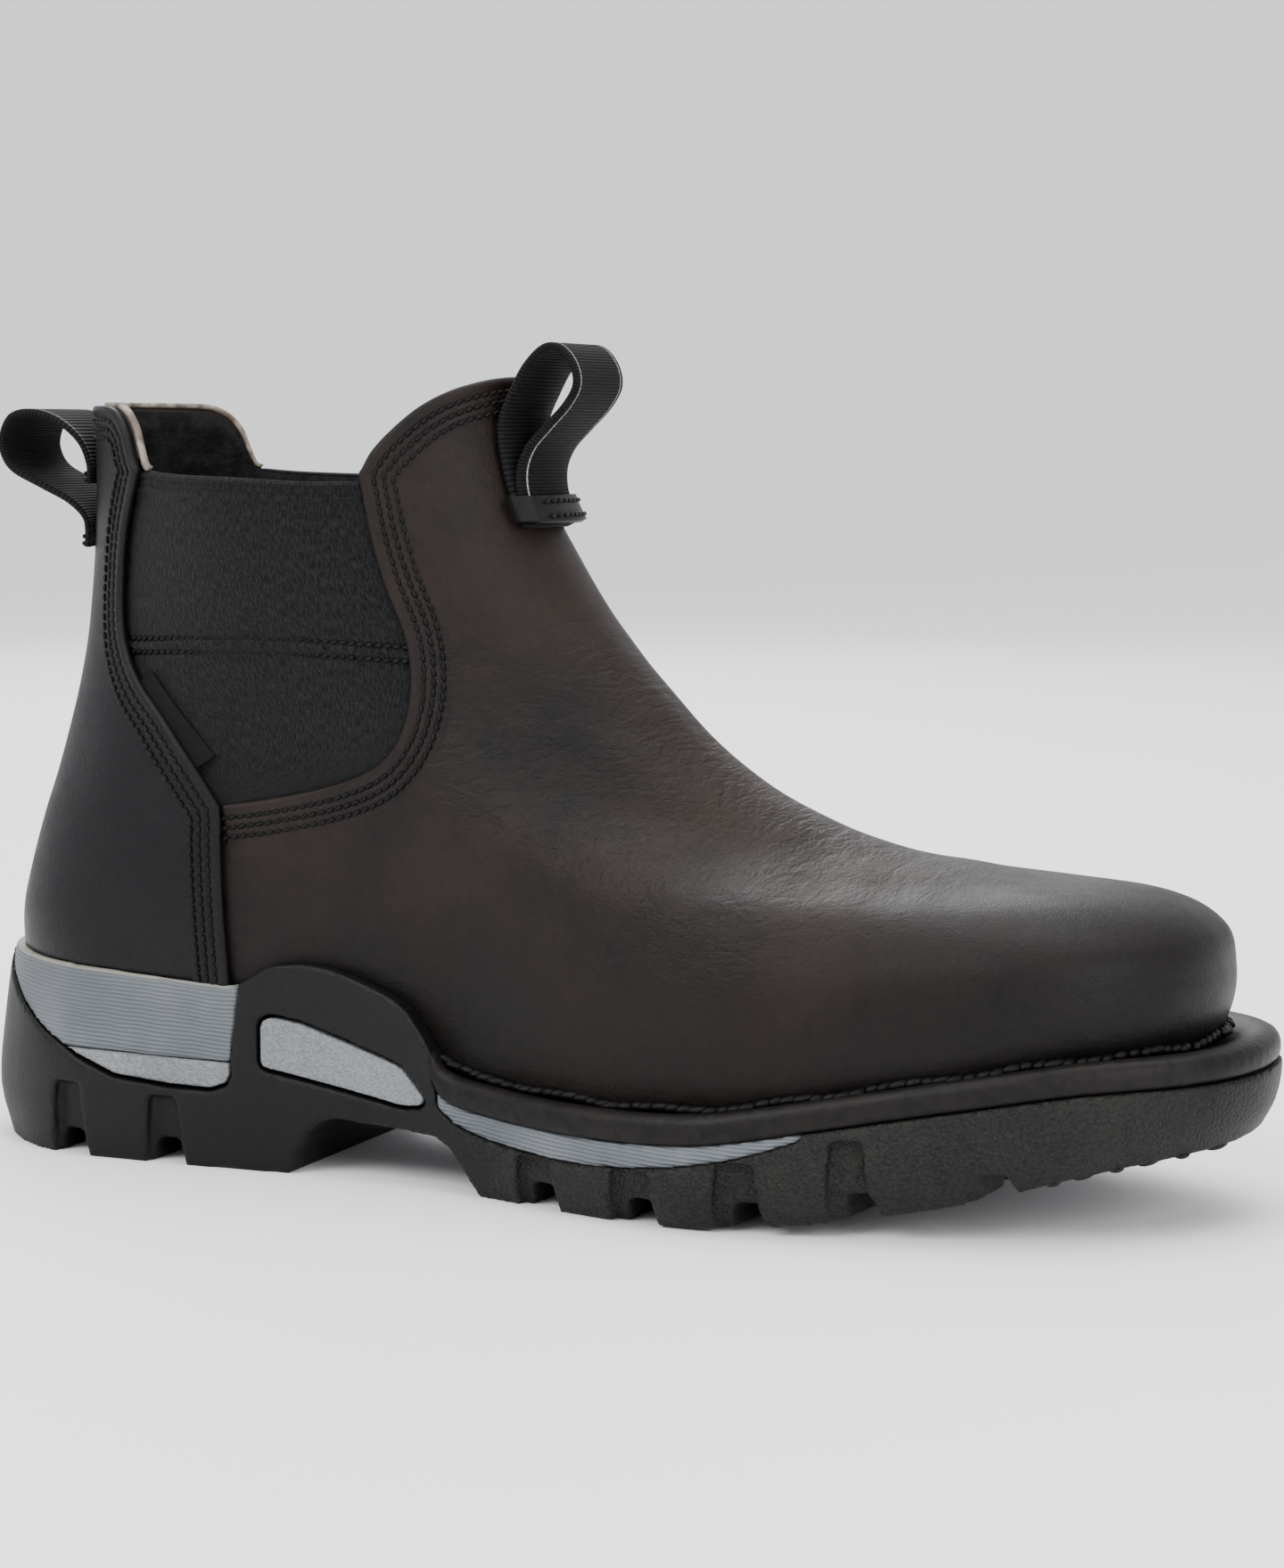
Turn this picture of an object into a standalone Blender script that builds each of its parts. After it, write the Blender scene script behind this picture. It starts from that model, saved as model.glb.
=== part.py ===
"""Side gore work boot, right foot, at real size, in metres: +X to the toe, +Y to the inner side, +Z up.

The upper is a lofted shell over a last. The last is a table of level sections, from the edge where it
meets the sole to the collar. The sole's side rows, the counter, the gores and the insole all come from
that same last function, so they follow when a size changes.
"""
import math
from collections import namedtuple

import bmesh
import bpy
from mathutils import Vector

# Driving sizes of the last and the upper
LAST_LENGTH = 0.3005
BALL_WIDTH = 0.106
UPPER_HEIGHT = 0.144
UPPER_WALL = 0.0024
GAP = 0.0003

# Driving sizes of the sole
HEEL_HEIGHT = 0.036
SOLE_EDGE = 0.0065
LUG_DEPTH = 0.006
WELT_THICKNESS = 0.0062
INSOLE_THICKNESS = 0.004

# Leather, gore and webbing
COUNTER_THICKNESS = 0.0017
GORE_THICKNESS = 0.0013
GORE_RECESS = 0.0009
PANEL_GAP = 0.0005
WEBBING_WIDTH = 0.027
WEBBING_THICKNESS = 0.0016
STRAP_CLEARANCE = 0.0010
PATCH_WIDTH = 0.031
PATCH_HEIGHT = 0.0055
PATCH_THICKNESS = 0.0016

# How finely the curved forms are faceted
COLUMNS = 44
UPPER_ROWS = 15
CURVE_STEPS = 2
LINE_STEPS = 36
FOOT_STEPS = 8
CHANNEL_POINTS = 6
CAVITY_ROWS = 3
GORE_FIRST_ROW = 2
LOOP_STEPS = 2
LOOP_RIBS = 4
PATCH_ROWS = 2
AROUND_STEP = 0.25 / COLUMNS
UPWARD_STEP = 0.01
HALVINGS = 20
SHARP_ANGLE = math.radians(35)

# How far the cutters reach beyond the boot, and how far a corner of a grown outline may reach out
BEYOND = 0.020
SKY = 0.4
MITRE_LIMIT = 0.4

# The u of the last's columns at the back and at the toe
BACK = 0.0
TOE = 0.5

# Level sections of the last, from the sole to the collar. Places along the boot are shares of
# LAST_LENGTH, rises are shares of UPPER_HEIGHT over the footbed, half widths are shares of BALL_WIDTH.
# swing turns the toe to the inner side, arch hollows the inner waist, and sag is how far a section
# follows the footbed. heel_round and toe_round are the shares of a section that its round ends take.
Section = namedtuple(
    "Section", "back back_rise front front_rise heel waist ball toe swing arch sag heel_round toe_round")
SECTIONS = (
    Section(0.026, 0.000, 0.993, 0.000, 0.288, 0.268, 0.455, 0.400, 0.050, 0.040, 1.00, 0.110, 0.190),
    Section(0.021, 0.070, 1.010, 0.068, 0.314, 0.287, 0.487, 0.432, 0.050, 0.035, 1.00, 0.115, 0.180),
    Section(0.020, 0.146, 1.013, 0.136, 0.327, 0.300, 0.498, 0.440, 0.050, 0.030, 0.90, 0.120, 0.180),
    Section(0.027, 0.222, 1.004, 0.200, 0.333, 0.308, 0.490, 0.425, 0.050, 0.025, 0.65, 0.135, 0.185),
    Section(0.038, 0.306, 0.962, 0.256, 0.334, 0.312, 0.462, 0.365, 0.048, 0.020, 0.40, 0.160, 0.210),
    Section(0.050, 0.382, 0.858, 0.316, 0.332, 0.312, 0.402, 0.285, 0.042, 0.015, 0.22, 0.200, 0.320),
    Section(0.061, 0.465, 0.752, 0.386, 0.328, 0.312, 0.362, 0.272, 0.034, 0.010, 0.10, 0.250, 0.400),
    Section(0.070, 0.542, 0.670, 0.468, 0.322, 0.315, 0.342, 0.285, 0.025, 0.005, 0.05, 0.310, 0.440),
    Section(0.078, 0.625, 0.601, 0.575, 0.318, 0.322, 0.334, 0.295, 0.016, 0.000, 0.02, 0.370, 0.460),
    Section(0.083, 0.722, 0.541, 0.704, 0.315, 0.331, 0.330, 0.302, 0.008, 0.000, 0.00, 0.430, 0.480),
    Section(0.086, 0.806, 0.497, 0.835, 0.313, 0.337, 0.330, 0.307, 0.002, 0.000, 0.00, 0.460, 0.490),
    Section(0.088, 0.896, 0.467, 0.958, 0.313, 0.341, 0.332, 0.310, 0.000, 0.000, 0.00, 0.480, 0.490),
    Section(0.088, 1.060, 0.446, 1.190, 0.315, 0.345, 0.335, 0.312, 0.000, 0.000, 0.00, 0.480, 0.490),
)
WIDTH_STATIONS = (0.0, 0.15, 0.40, 0.66, 0.85, 1.0)
TOE_END = 0.92
HEEL_POWER = 2.0
TOE_POWER = 2.3
SWING_START = 0.25
SWING_GAIN = 1.6
ARCH_CENTRE = 0.42
ARCH_SPREAD = 0.20

# Heights along the boot, each a share of HEEL_HEIGHT: the footbed, the underside and the top line of
# the sole. at is a share of LAST_LENGTH from the heel's back.
Bed = namedtuple("Bed", "at bed under")
BEDS = (
    Bed(-0.030, 1.000, 0.000),
    Bed(0.000, 1.000, 0.000),
    Bed(0.220, 0.960, 0.000),
    Bed(0.340, 0.830, 0.000),
    Bed(0.450, 0.690, 0.000),
    Bed(0.560, 0.625, 0.000),
    Bed(0.670, 0.620, 0.015),
    Bed(0.760, 0.660, 0.090),
    Bed(0.860, 0.800, 0.240),
    Bed(0.940, 0.920, 0.415),
    Bed(1.040, 1.040, 0.570),
)
TopLine = namedtuple("TopLine", "at top")
TOP_LINE = (
    TopLine(-0.040, 1.350),
    TopLine(0.000, 1.345),
    TopLine(0.130, 1.290),
    TopLine(0.255, 1.225),
    TopLine(0.275, 1.290),
    TopLine(0.292, 1.375),
    TopLine(0.335, 1.395),
    TopLine(0.375, 1.310),
    TopLine(0.412, 1.175),
    TopLine(0.434, 0.960),
    TopLine(0.447, 0.800),
    TopLine(0.490, 0.730),
    TopLine(0.570, 0.695),
    TopLine(0.670, 0.722),
    TopLine(0.760, 0.848),
    TopLine(0.860, 1.000),
    TopLine(0.940, 1.105),
    TopLine(1.000, 1.130),
    TopLine(1.060, 1.150),
)

# How far each side row of the sole stands out from the edge of the last, as shares of SOLE_EDGE
Spread = namedtuple("Spread", "at under shoulder middle rim")
SPREADS = (
    Spread(0.000, 1.85, 2.65, 2.15, 1.35),
    Spread(0.060, 0.95, 1.25, 1.20, 0.95),
    Spread(0.250, 0.65, 0.90, 1.00, 0.95),
    Spread(0.420, 0.45, 0.75, 1.00, 1.10),
    Spread(0.600, 0.70, 1.25, 1.35, 1.40),
    Spread(0.800, 0.75, 1.40, 1.55, 1.50),
    Spread(0.950, 1.10, 1.75, 2.00, 2.00),
    Spread(1.000, 2.10, 2.50, 2.70, 2.60),
)
SHOULDER_RISE = 0.25
MIDDLE_RISE = 0.60
RIM_CEILING = 1.44

# The collar's edge seen from the side, from the back tab over the gores to the front tab, and the gore's
# edge from its upper back corner down to the tip and up to its upper front corner. at is a share of
# LAST_LENGTH, rise a share of UPPER_HEIGHT over the heel's footbed.
Outline = namedtuple("Outline", "at rise")
COLLAR = (
    Outline(-0.100, 1.000),
    Outline(0.124, 1.000),
    Outline(0.142, 0.990),
    Outline(0.155, 0.960),
    Outline(0.162, 0.918),
    Outline(0.168, 0.897),
    Outline(0.266, 0.885),
    Outline(0.352, 0.880),
    Outline(0.366, 0.892),
    Outline(0.374, 0.924),
    Outline(0.388, 0.960),
    Outline(0.408, 1.000),
    Outline(0.432, 1.030),
    Outline(0.466, 1.052),
    Outline(0.600, 1.075),
)
GORE = (
    Outline(0.168, 0.897),
    Outline(0.150, 0.790),
    Outline(0.145, 0.690),
    Outline(0.149, 0.620),
    Outline(0.166, 0.555),
    Outline(0.196, 0.490),
    Outline(0.226, 0.414),
    Outline(0.248, 0.351),
    Outline(0.291, 0.365),
    Outline(0.346, 0.392),
    Outline(0.385, 0.427),
    Outline(0.404, 0.472),
    Outline(0.412, 0.530),
    Outline(0.411, 0.590),
    Outline(0.404, 0.645),
    Outline(0.389, 0.715),
    Outline(0.376, 0.797),
    Outline(0.366, 0.892),
)
GORE_TIP = 7
COUNTER_FOOT_AT = 0.252
COUNTER_KNEE = Outline(0.250, 0.210)
COUNTER_LIFT = 0.0008

# The grey midsole and the parts beside it, seen from the side: at is a share of LAST_LENGTH, up a share
# of HEEL_HEIGHT.
Window = namedtuple("Window", "at up")
HEEL_WINDOW = (
    Window(0.003, 1.340),
    Window(0.020, 1.190),
    Window(0.048, 1.010),
    Window(0.080, 0.840),
    Window(0.104, 0.740),
    Window(0.256, 0.722),
    Window(0.264, 1.230),
)
HEEL_WEDGE = (
    Window(0.104, 0.760),
    Window(0.116, 0.700),
    Window(0.151, 0.575),
    Window(0.200, 0.540),
    Window(0.238, 0.533),
    Window(0.256, 0.600),
    Window(0.256, 0.760),
)
FOREFOOT_WINDOW = (
    Window(0.442, 0.560),
    Window(0.460, 0.460),
    Window(0.500, 0.385),
    Window(0.570, 0.345),
    Window(0.650, 0.395),
    Window(0.710, 0.500),
    Window(0.752, 0.620),
)
WINDOW_CEILING = 2.0
CORE_CEILING = 1.8
SHANK_PLATE = (
    Window(0.283, 0.720),
    Window(0.283, 0.980),
    Window(0.296, 1.035),
    Window(0.318, 1.010),
    Window(0.402, 0.800),
    Window(0.428, 0.600),
    Window(0.424, 0.545),
    Window(0.408, 0.535),
)
ARCH = (
    Window(0.318, -0.400),
    Window(0.304, 0.000),
    Window(0.322, 0.300),
    Window(0.345, 0.400),
    Window(0.440, 0.360),
    Window(0.462, 0.200),
    Window(0.476, 0.000),
    Window(0.480, -0.400),
)
CORE_START = 0.20
CORE_END = 0.52
CORE_HALF_WIDTH = 0.20
CORE_LOW = 0.56
LINE_START = -0.060
LINE_END = 1.100
WELT_START = 0.440
WELT_LEDGE = 0.0025
PLATE_DEPTH = 0.0030
PLATE_RECESS = 0.0008
MIDSOLE_RECESS = 0.0006
INSOLE_INSET = 0.0038

# Cross grooves at the sole's edges: where they start on the edge and how far they lean forward, both
# shares of LAST_LENGTH. The long grooves split the edge lugs from the middle ones.
Groove = namedtuple("Groove", "at lean")
OUTER_GROOVES = (
    Groove(0.106, 0.000), Groove(0.195, 0.000), Groove(0.534, 0.010), Groove(0.620, 0.014),
    Groove(0.703, 0.016), Groove(0.783, 0.018), Groove(0.878, 0.012))
INNER_GROOVES = (
    Groove(0.112, 0.000), Groove(0.203, 0.000), Groove(0.546, 0.010), Groove(0.632, 0.014),
    Groove(0.714, 0.016), Groove(0.794, 0.018), Groove(0.888, 0.012))
GROOVE_WIDTH = 0.0070
EDGE_LUG_SHARE = 0.56
MIDDLE_POINT = 0.022
HEEL_CHANNEL = (0.015, 0.230)
FRONT_CHANNEL = (0.505, 0.925)

# The pull loops: out is the distance from the wall as a share of LOOP_REACH, rise a share of
# UPPER_HEIGHT over the heel's footbed, wrap how far the webbing bends round the wall, and layer how
# many thicknesses of webbing lie under it.
LOOP_REACH = 0.018
LoopPoint = namedtuple("LoopPoint", "out rise wrap layer")
FRONT_LOOP = (
    LoopPoint(0.000, 0.800, 1.0, 0),
    LoopPoint(0.000, 0.860, 1.0, 0),
    LoopPoint(0.000, 0.925, 1.0, 0),
    LoopPoint(0.040, 0.975, 0.9, 0),
    LoopPoint(0.200, 1.020, 0.6, 0),
    LoopPoint(0.400, 1.062, 0.3, 0),
    LoopPoint(0.640, 1.090, 0.0, 0),
    LoopPoint(0.860, 1.088, 0.0, 0),
    LoopPoint(1.000, 1.062, 0.0, 0),
    LoopPoint(1.000, 1.030, 0.0, 0),
    LoopPoint(0.830, 0.998, 0.1, 0),
    LoopPoint(0.560, 0.965, 0.3, 0),
    LoopPoint(0.270, 0.930, 0.6, 0.3),
    LoopPoint(0.080, 0.890, 0.9, 0.8),
    LoopPoint(0.000, 0.845, 1.0, 1),
    LoopPoint(0.000, 0.800, 1.0, 1),
)
REAR_LOOP = (
    LoopPoint(0.000, 0.870, 1.0, 0),
    LoopPoint(0.000, 0.905, 1.0, 0),
    LoopPoint(0.110, 0.945, 0.8, 0),
    LoopPoint(0.380, 0.978, 0.4, 0),
    LoopPoint(0.720, 0.992, 0.1, 0),
    LoopPoint(1.020, 0.985, 0.0, 0),
    LoopPoint(1.170, 0.955, 0.0, 0),
    LoopPoint(1.170, 0.925, 0.0, 0),
    LoopPoint(1.000, 0.895, 0.0, 0),
    LoopPoint(0.600, 0.868, 0.2, 0),
    LoopPoint(0.240, 0.842, 0.6, 0),
    LoopPoint(0.040, 0.815, 0.9, 0),
    LoopPoint(0.000, 0.790, 1.0, 0),
    LoopPoint(0.000, 0.762, 1.0, 0),
)

MANIFOLD_PIECES = ("outsole", "midsole", "welt_space", "midsole_space", "midsole_block")

parts = bpy.data.collections.new("side_gore_work_boot")
cutters = bpy.data.collections.new("cutters")


def clear_scene():
    for old in list(bpy.data.objects):
        bpy.data.objects.remove(old, do_unlink=True)
    bpy.context.scene.collection.children.link(parts)
    bpy.context.scene.collection.children.link(cutters)


def smooth(places, values, place):
    """A smooth curve through a table's values, level beyond its ends."""
    if place <= places[0]:
        return values[0]
    if place >= places[-1]:
        return values[-1]
    last = len(places) - 1
    low = max(k for k in range(last) if places[k] <= place)

    def slope(k):
        before, after = max(k - 1, 0), min(k + 1, last)
        return (values[after] - values[before]) / (places[after] - places[before])

    span = places[low + 1] - places[low]
    t = (place - places[low]) / span
    return ((1 + 2 * t) * (1 - t) ** 2 * values[low] + t * (1 - t) ** 2 * span * slope(low)
            + t * t * (3 - 2 * t) * values[low + 1] + t * t * (t - 1) * span * slope(low + 1))


def column(table, field):
    return [getattr(row, field) for row in table]


def along_table(table, field, x, unit):
    """A table's value at a place along the boot, in metres."""
    return unit * smooth(column(table, "at"), column(table, field), x / LAST_LENGTH)


def bed_height(x):
    return along_table(BEDS, "bed", x, HEEL_HEIGHT)


def under_height(x):
    return max(0.0, along_table(BEDS, "under", x, HEEL_HEIGHT))


def top_height(x):
    return along_table(TOP_LINE, "top", x, HEEL_HEIGHT)


def section(v):
    """The last's level section at v, from 0 at the sole to 1 past the collar."""
    places = [k / (len(SECTIONS) - 1) for k in range(len(SECTIONS))]
    return Section(*(smooth(places, column(SECTIONS, field), v) for field in Section._fields))


def round_end(along, reach, power):
    """How full a section is near an end: 0 at its tip, and 1 from its reach onwards."""
    left = 1 - min(1.0, max(0.0, along) / reach)
    return (1 - left ** power) ** (1 / power)


def last_point(u, level):
    """A point of the last: u runs from 0 at the back by the outer side to 0.5 at the toe and on to 1."""
    u %= 1.0
    side = -1 if u <= 0.5 else 1
    angle = 2 * math.pi * min(u, 1 - u)
    along = (1 - math.cos(angle)) / 2
    back, front = LAST_LENGTH * level.back, LAST_LENGTH * level.front
    x = back + (front - back) * along
    widths = (level.heel, level.heel, level.waist, level.ball, level.toe, level.toe * TOE_END)
    half = BALL_WIDTH * smooth(WIDTH_STATIONS, widths, along)
    half *= round_end(along, level.heel_round, HEEL_POWER)
    half *= round_end(1 - along, level.toe_round, TOE_POWER)
    turn = level.swing * SWING_GAIN * (max(0.0, along - SWING_START) / (1 - SWING_START)) ** 2
    hollow = level.arch * math.exp(-((along - ARCH_CENTRE) / ARCH_SPREAD) ** 2)
    y = BALL_WIDTH * (turn - hollow) + side * half
    low_back, low_front = bed_height(back), bed_height(front)
    straight = low_back + (low_front - low_back) * along
    rise = level.back_rise + (level.front_rise - level.back_rise) * along
    return Vector((x, y, straight + level.sag * (bed_height(x) - straight) + UPPER_HEIGHT * rise))


def shell_point(u, v, out):
    """A point at a distance out from the last's surface."""
    here = last_point(u, section(v))
    if not out:
        return here
    level = section(v)
    around = last_point(u + AROUND_STEP, level) - last_point(u - AROUND_STEP, level)
    upward = (last_point(u, section(min(v + UPWARD_STEP, 1)))
              - last_point(u, section(max(v - UPWARD_STEP, 0))))
    return here + around.cross(upward).normalized() * out


def find_v(u, height):
    """The v at which the last reaches a height in one column."""
    low, high = 0.0, 1.0
    for _ in range(HALVINGS):
        middle = (low + high) / 2
        if last_point(u, section(middle)).z < height:
            low = middle
        else:
            high = middle
    return (low + high) / 2


def material(name, colour, roughness):
    made = bpy.data.materials.new(name)
    made.use_nodes = True
    shader = made.node_tree.nodes["Principled BSDF"]
    shader.inputs["Base Color"].default_value = (*colour, 1.0)
    shader.inputs["Roughness"].default_value = roughness
    shader.inputs["Metallic"].default_value = 0.0
    made.diffuse_color = (*colour, 1.0)
    return made


def finish_mesh(name, bm, collection=cutters, finish=None):
    """An object from a closed bmesh, a visible part where it has a material."""
    bmesh.ops.recalc_face_normals(bm, faces=bm.faces)
    mesh = bpy.data.meshes.new(name)
    bm.to_mesh(mesh)
    bm.free()
    made = bpy.data.objects.new(name, mesh)
    collection.objects.link(made)
    if finish is None:
        made.hide_render = True
        made.display_type = "WIRE"
    else:
        mesh.materials.append(finish)
        mesh.shade_smooth()
        mesh.set_sharp_from_angle(angle=SHARP_ANGLE)
    return made


def skin_loops(bm, lower, upper):
    """Two triangles between each pair of neighbours, parted the same way on every form."""
    for k in range(len(lower)):
        after = (k + 1) % len(lower)
        bm.faces.new((lower[k], lower[after], upper[after]))
        bm.faces.new((lower[k], upper[after], upper[k]))


def skin_rings(bm, rings):
    """A skin over rings of points, which all have the same count."""
    loops = [[bm.verts.new(point) for point in ring] for ring in rings]
    for lower, upper in zip(loops, loops[1:]):
        skin_loops(bm, lower, upper)
    return loops


def close_across(bm, loop):
    """Closes a ring with strips that run across the boot from the outer to the inner side."""
    half = len(loop) // 2
    for k in range(half):
        corners = (loop[k], loop[k + 1], loop[-k - 1], loop[-k] if k else loop[0])
        bm.faces.new(list(dict.fromkeys(corners)))


def ring_of(point_at):
    return [point_at(k / COLUMNS) for k in range(COLUMNS)]


def shell(name, outer, inner, first, final, finish=None):
    """A wall that follows the last between two rows, and between two distances from its surface."""
    steps = [k / UPPER_ROWS for k in range(first, final + 1)]
    bm = bmesh.new()
    faces = [skin_rings(bm, [ring_of(lambda u, v=v, out=out: shell_point(u, v, out)) for v in steps])
             for out in (outer, inner)]
    skin_loops(bm, faces[0][0], faces[1][0])
    skin_loops(bm, faces[0][-1], faces[1][-1])
    return finish_mesh(name, bm, parts if finish else cutters, finish)


def rounded_outline(points, steps=CURVE_STEPS):
    """A smooth path through places seen from the side."""
    places = [0.0]
    for before, after in zip(points, points[1:]):
        places.append(places[-1] + math.dist(before, after))
    xs, zs = [p[0] for p in points], [p[1] for p in points]
    found = []
    for low, high in zip(places, places[1:]):
        found += [(smooth(places, xs, low + (high - low) * k / steps),
                   smooth(places, zs, low + (high - low) * k / steps)) for k in range(steps)]
    return found + [points[-1]]


def side_prism(name, points, low_y=-SKY, high_y=SKY):
    """A cutter with an outline seen from the side, drawn as a flat curve and given its width."""
    curve = bpy.data.curves.new(name, "CURVE")
    curve.dimensions = "2D"
    curve.fill_mode = "BOTH"
    curve.extrude = (high_y - low_y) / 2
    spline = curve.splines.new("POLY")
    spline.points.add(len(points) - 1)
    for place, (x, z) in zip(spline.points, points):
        place.co = (x, z, 0.0, 1.0)
    spline.use_cyclic_u = True
    drawn = bpy.data.objects.new(name, curve)
    cutters.objects.link(drawn)
    drawn.rotation_euler = (math.pi / 2, 0.0, 0.0)
    drawn.location = (0.0, (low_y + high_y) / 2, 0.0)
    bpy.context.view_layer.update()
    graph = bpy.context.evaluated_depsgraph_get()
    mesh = bpy.data.meshes.new_from_object(drawn.evaluated_get(graph))
    mesh.transform(drawn.matrix_world)
    bpy.data.objects.remove(drawn)
    bm = bmesh.new()
    bm.from_mesh(mesh)
    bpy.data.meshes.remove(mesh)
    bmesh.ops.remove_doubles(bm, verts=bm.verts, dist=1e-5)
    return finish_mesh(name, bm)


def boolean(target, cutter, operation="DIFFERENCE"):
    """A cut or join. The Manifold solver serves the sole blocks that the Exact one leaves open."""
    step = target.modifiers.new(cutter.name, "BOOLEAN")
    step.operation = operation
    step.solver = "MANIFOLD" if target.name in MANIFOLD_PIECES else "EXACT"
    if isinstance(cutter, bpy.types.Collection):
        step.operand_type = "COLLECTION"
        step.collection = cutter
    else:
        step.object = cutter


def from_side(points):
    """Outline rows as metres seen from the side."""
    return [(LAST_LENGTH * p.at, HEEL_HEIGHT + UPPER_HEIGHT * p.rise) for p in points]


def from_window(points):
    return [(LAST_LENGTH * p.at, HEEL_HEIGHT * p.up) for p in points]


def grown(points, amount):
    """An outline moved outwards by an amount, for a cutter with clearance."""
    area = sum(a[0] * b[1] - b[0] * a[1] for a, b in zip(points, points[1:] + points[:1]))
    turn = 1 if area > 0 else -1
    moved = []
    for before, here, after in zip(points[-1:] + points[:-1], points, points[1:] + points[:1]):
        one = Vector((here[0] - before[0], here[1] - before[1])).normalized()
        two = Vector((after[0] - here[0], after[1] - here[1])).normalized()
        normal = Vector((one.y + two.y, -one.x - two.x)).normalized() * turn
        lean = max(MITRE_LIMIT, normal.dot(Vector((one.y, -one.x)) * turn))
        moved.append((here[0] + normal.x * amount / lean, here[1] + normal.y * amount / lean))
    return moved


def edge_normal(u):
    """The outward direction, seen from above, at the edge of the last that meets the sole."""
    foot = section(0.0)
    run = last_point(u + AROUND_STEP, foot) - last_point(u - AROUND_STEP, foot)
    return Vector((run.y, -run.x, 0.0)).normalized()


def edge_point(u, out):
    return last_point(u, section(0.0)) + edge_normal(u) * out


def side_row(u, field, rise, inflate):
    """A point of one side row of the sole: how far out it stands, and its share of the sole's height."""
    at = last_point(u, section(0.0)).x
    point = edge_point(u, along_table(SPREADS, field, at, SOLE_EDGE) + inflate)
    low, high = under_height(point.x), top_height(point.x)
    point.z = low + (high - low) * rise
    return point


def sole_body(name, inflate=0.0, finish=None, hollow=True):
    """The whole sole as one block, up to a ceiling above its top line, hollowed by the last."""
    ceiling = HEEL_HEIGHT * RIM_CEILING
    rings = [ring_of(lambda u, f=field, r=rise: side_row(u, f, r, inflate))
             for field, rise in (("under", 0.0), ("shoulder", SHOULDER_RISE),
                                 ("middle", MIDDLE_RISE), ("rim", 1.0))]
    rings.append([Vector((p.x, p.y, ceiling)) for p in rings[-1]])
    bm = bmesh.new()
    loops = skin_rings(bm, rings)
    close_across(bm, loops[0])
    if hollow:
        walls = [ring_of(lambda u, v=k / UPPER_ROWS: shell_point(u, v, GAP))
                 for k in range(CAVITY_ROWS + 1)]
        walls[0] = [Vector((p.x, p.y, p.z - GAP)) for p in walls[0]]
        inner = skin_rings(bm, walls)
        skin_loops(bm, inner[-1], loops[-1])
        close_across(bm, inner[0])
    else:
        close_across(bm, loops[-1])
    return finish_mesh(name, bm, parts if finish else cutters, finish)


def upright_plug(name, out, low):
    """An upright block with the outline of the last's lower edge, moved out by a distance."""
    bm = bmesh.new()
    rings = [ring_of(lambda u, z=z: edge_point(u, out).xy.to_3d() + Vector((0, 0, z)))
             for z in (low, -low)]
    loops = skin_rings(bm, rings)
    close_across(bm, loops[0])
    close_across(bm, loops[1])
    return finish_mesh(name, bm)


def edge_y(x, side):
    """How far the last's lower edge lies from the middle line at a place along the boot."""
    low, high = BACK, TOE
    for _ in range(HALVINGS):
        middle = (low + high) / 2
        if last_point(middle, section(0.0)).x < x:
            low = middle
        else:
            high = middle
    return last_point(low if side < 0 else 1 - low, section(0.0)).y


def groove(group, name, route, width=GROOVE_WIDTH):
    """A cutter along a route on the underside, as deep as the lugs are high."""
    bm = bmesh.new()
    rings = []
    for k, here in enumerate(route):
        before, after = route[max(k - 1, 0)], route[min(k + 1, len(route) - 1)]
        run = Vector((after[0] - before[0], after[1] - before[1])).normalized()
        across = Vector((-run.y, run.x)) * width / 2
        top = under_height(here[0]) + LUG_DEPTH
        low = under_height(here[0]) - BEYOND
        rings.append([(here[0] + across.x, here[1] + across.y, low),
                      (here[0] - across.x, here[1] - across.y, low),
                      (here[0] - across.x, here[1] - across.y, top),
                      (here[0] + across.x, here[1] + across.y, top)])
    loops = skin_rings(bm, rings)
    bm.faces.new(loops[0])
    bm.faces.new(loops[-1])
    return finish_mesh(name, bm, group)


def tread_grooves():
    """The cutters that part the tread into edge lugs and middle lugs."""
    group = bpy.data.collections.new("tread_grooves")
    cutters.children.link(group)
    reach = BALL_WIDTH
    for side, rows, name in ((-1, OUTER_GROOVES, "outer"), (1, INNER_GROOVES, "inner")):
        for k, row in enumerate(rows):
            x, lean = LAST_LENGTH * row.at, LAST_LENGTH * row.lean
            start = (x, side * reach)
            end = (x + lean, EDGE_LUG_SHARE * edge_y(x, side))
            groove(group, f"{name}_groove_{k}", [start, end])
        for label, (low, high) in (("heel", HEEL_CHANNEL), ("front", FRONT_CHANNEL)):
            places = [LAST_LENGTH * (low + (high - low) * k / (CHANNEL_POINTS - 1))
                      for k in range(CHANNEL_POINTS)]
            route = [(x, EDGE_LUG_SHARE * edge_y(x, side)) for x in places]
            groove(group, f"{name}_{label}_channel", route)
    for k, (outer, inner) in enumerate(zip(OUTER_GROOVES, INNER_GROOVES)):
        x = LAST_LENGTH * (outer.at + outer.lean)
        ends = [(x, EDGE_LUG_SHARE * edge_y(x, -1)), (x, EDGE_LUG_SHARE * edge_y(x, 1))]
        point = (x + LAST_LENGTH * MIDDLE_POINT, (ends[0][1] + ends[1][1]) / 2)
        groove(group, f"middle_groove_{k}", [ends[0], point, ends[1]])
    return group


def top_line(start, drop):
    """The sole's top line seen from the side, from a share of LAST_LENGTH to past the toe."""
    places = [LAST_LENGTH * (start + (LINE_END - start) * k / LINE_STEPS) for k in range(LINE_STEPS + 1)]
    return [(x, top_height(x) - drop) for x in places]


def roofed(line):
    """An outline that follows a line and closes far above it."""
    return line + [(line[-1][0], SKY), (line[0][0], SKY)]


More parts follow.
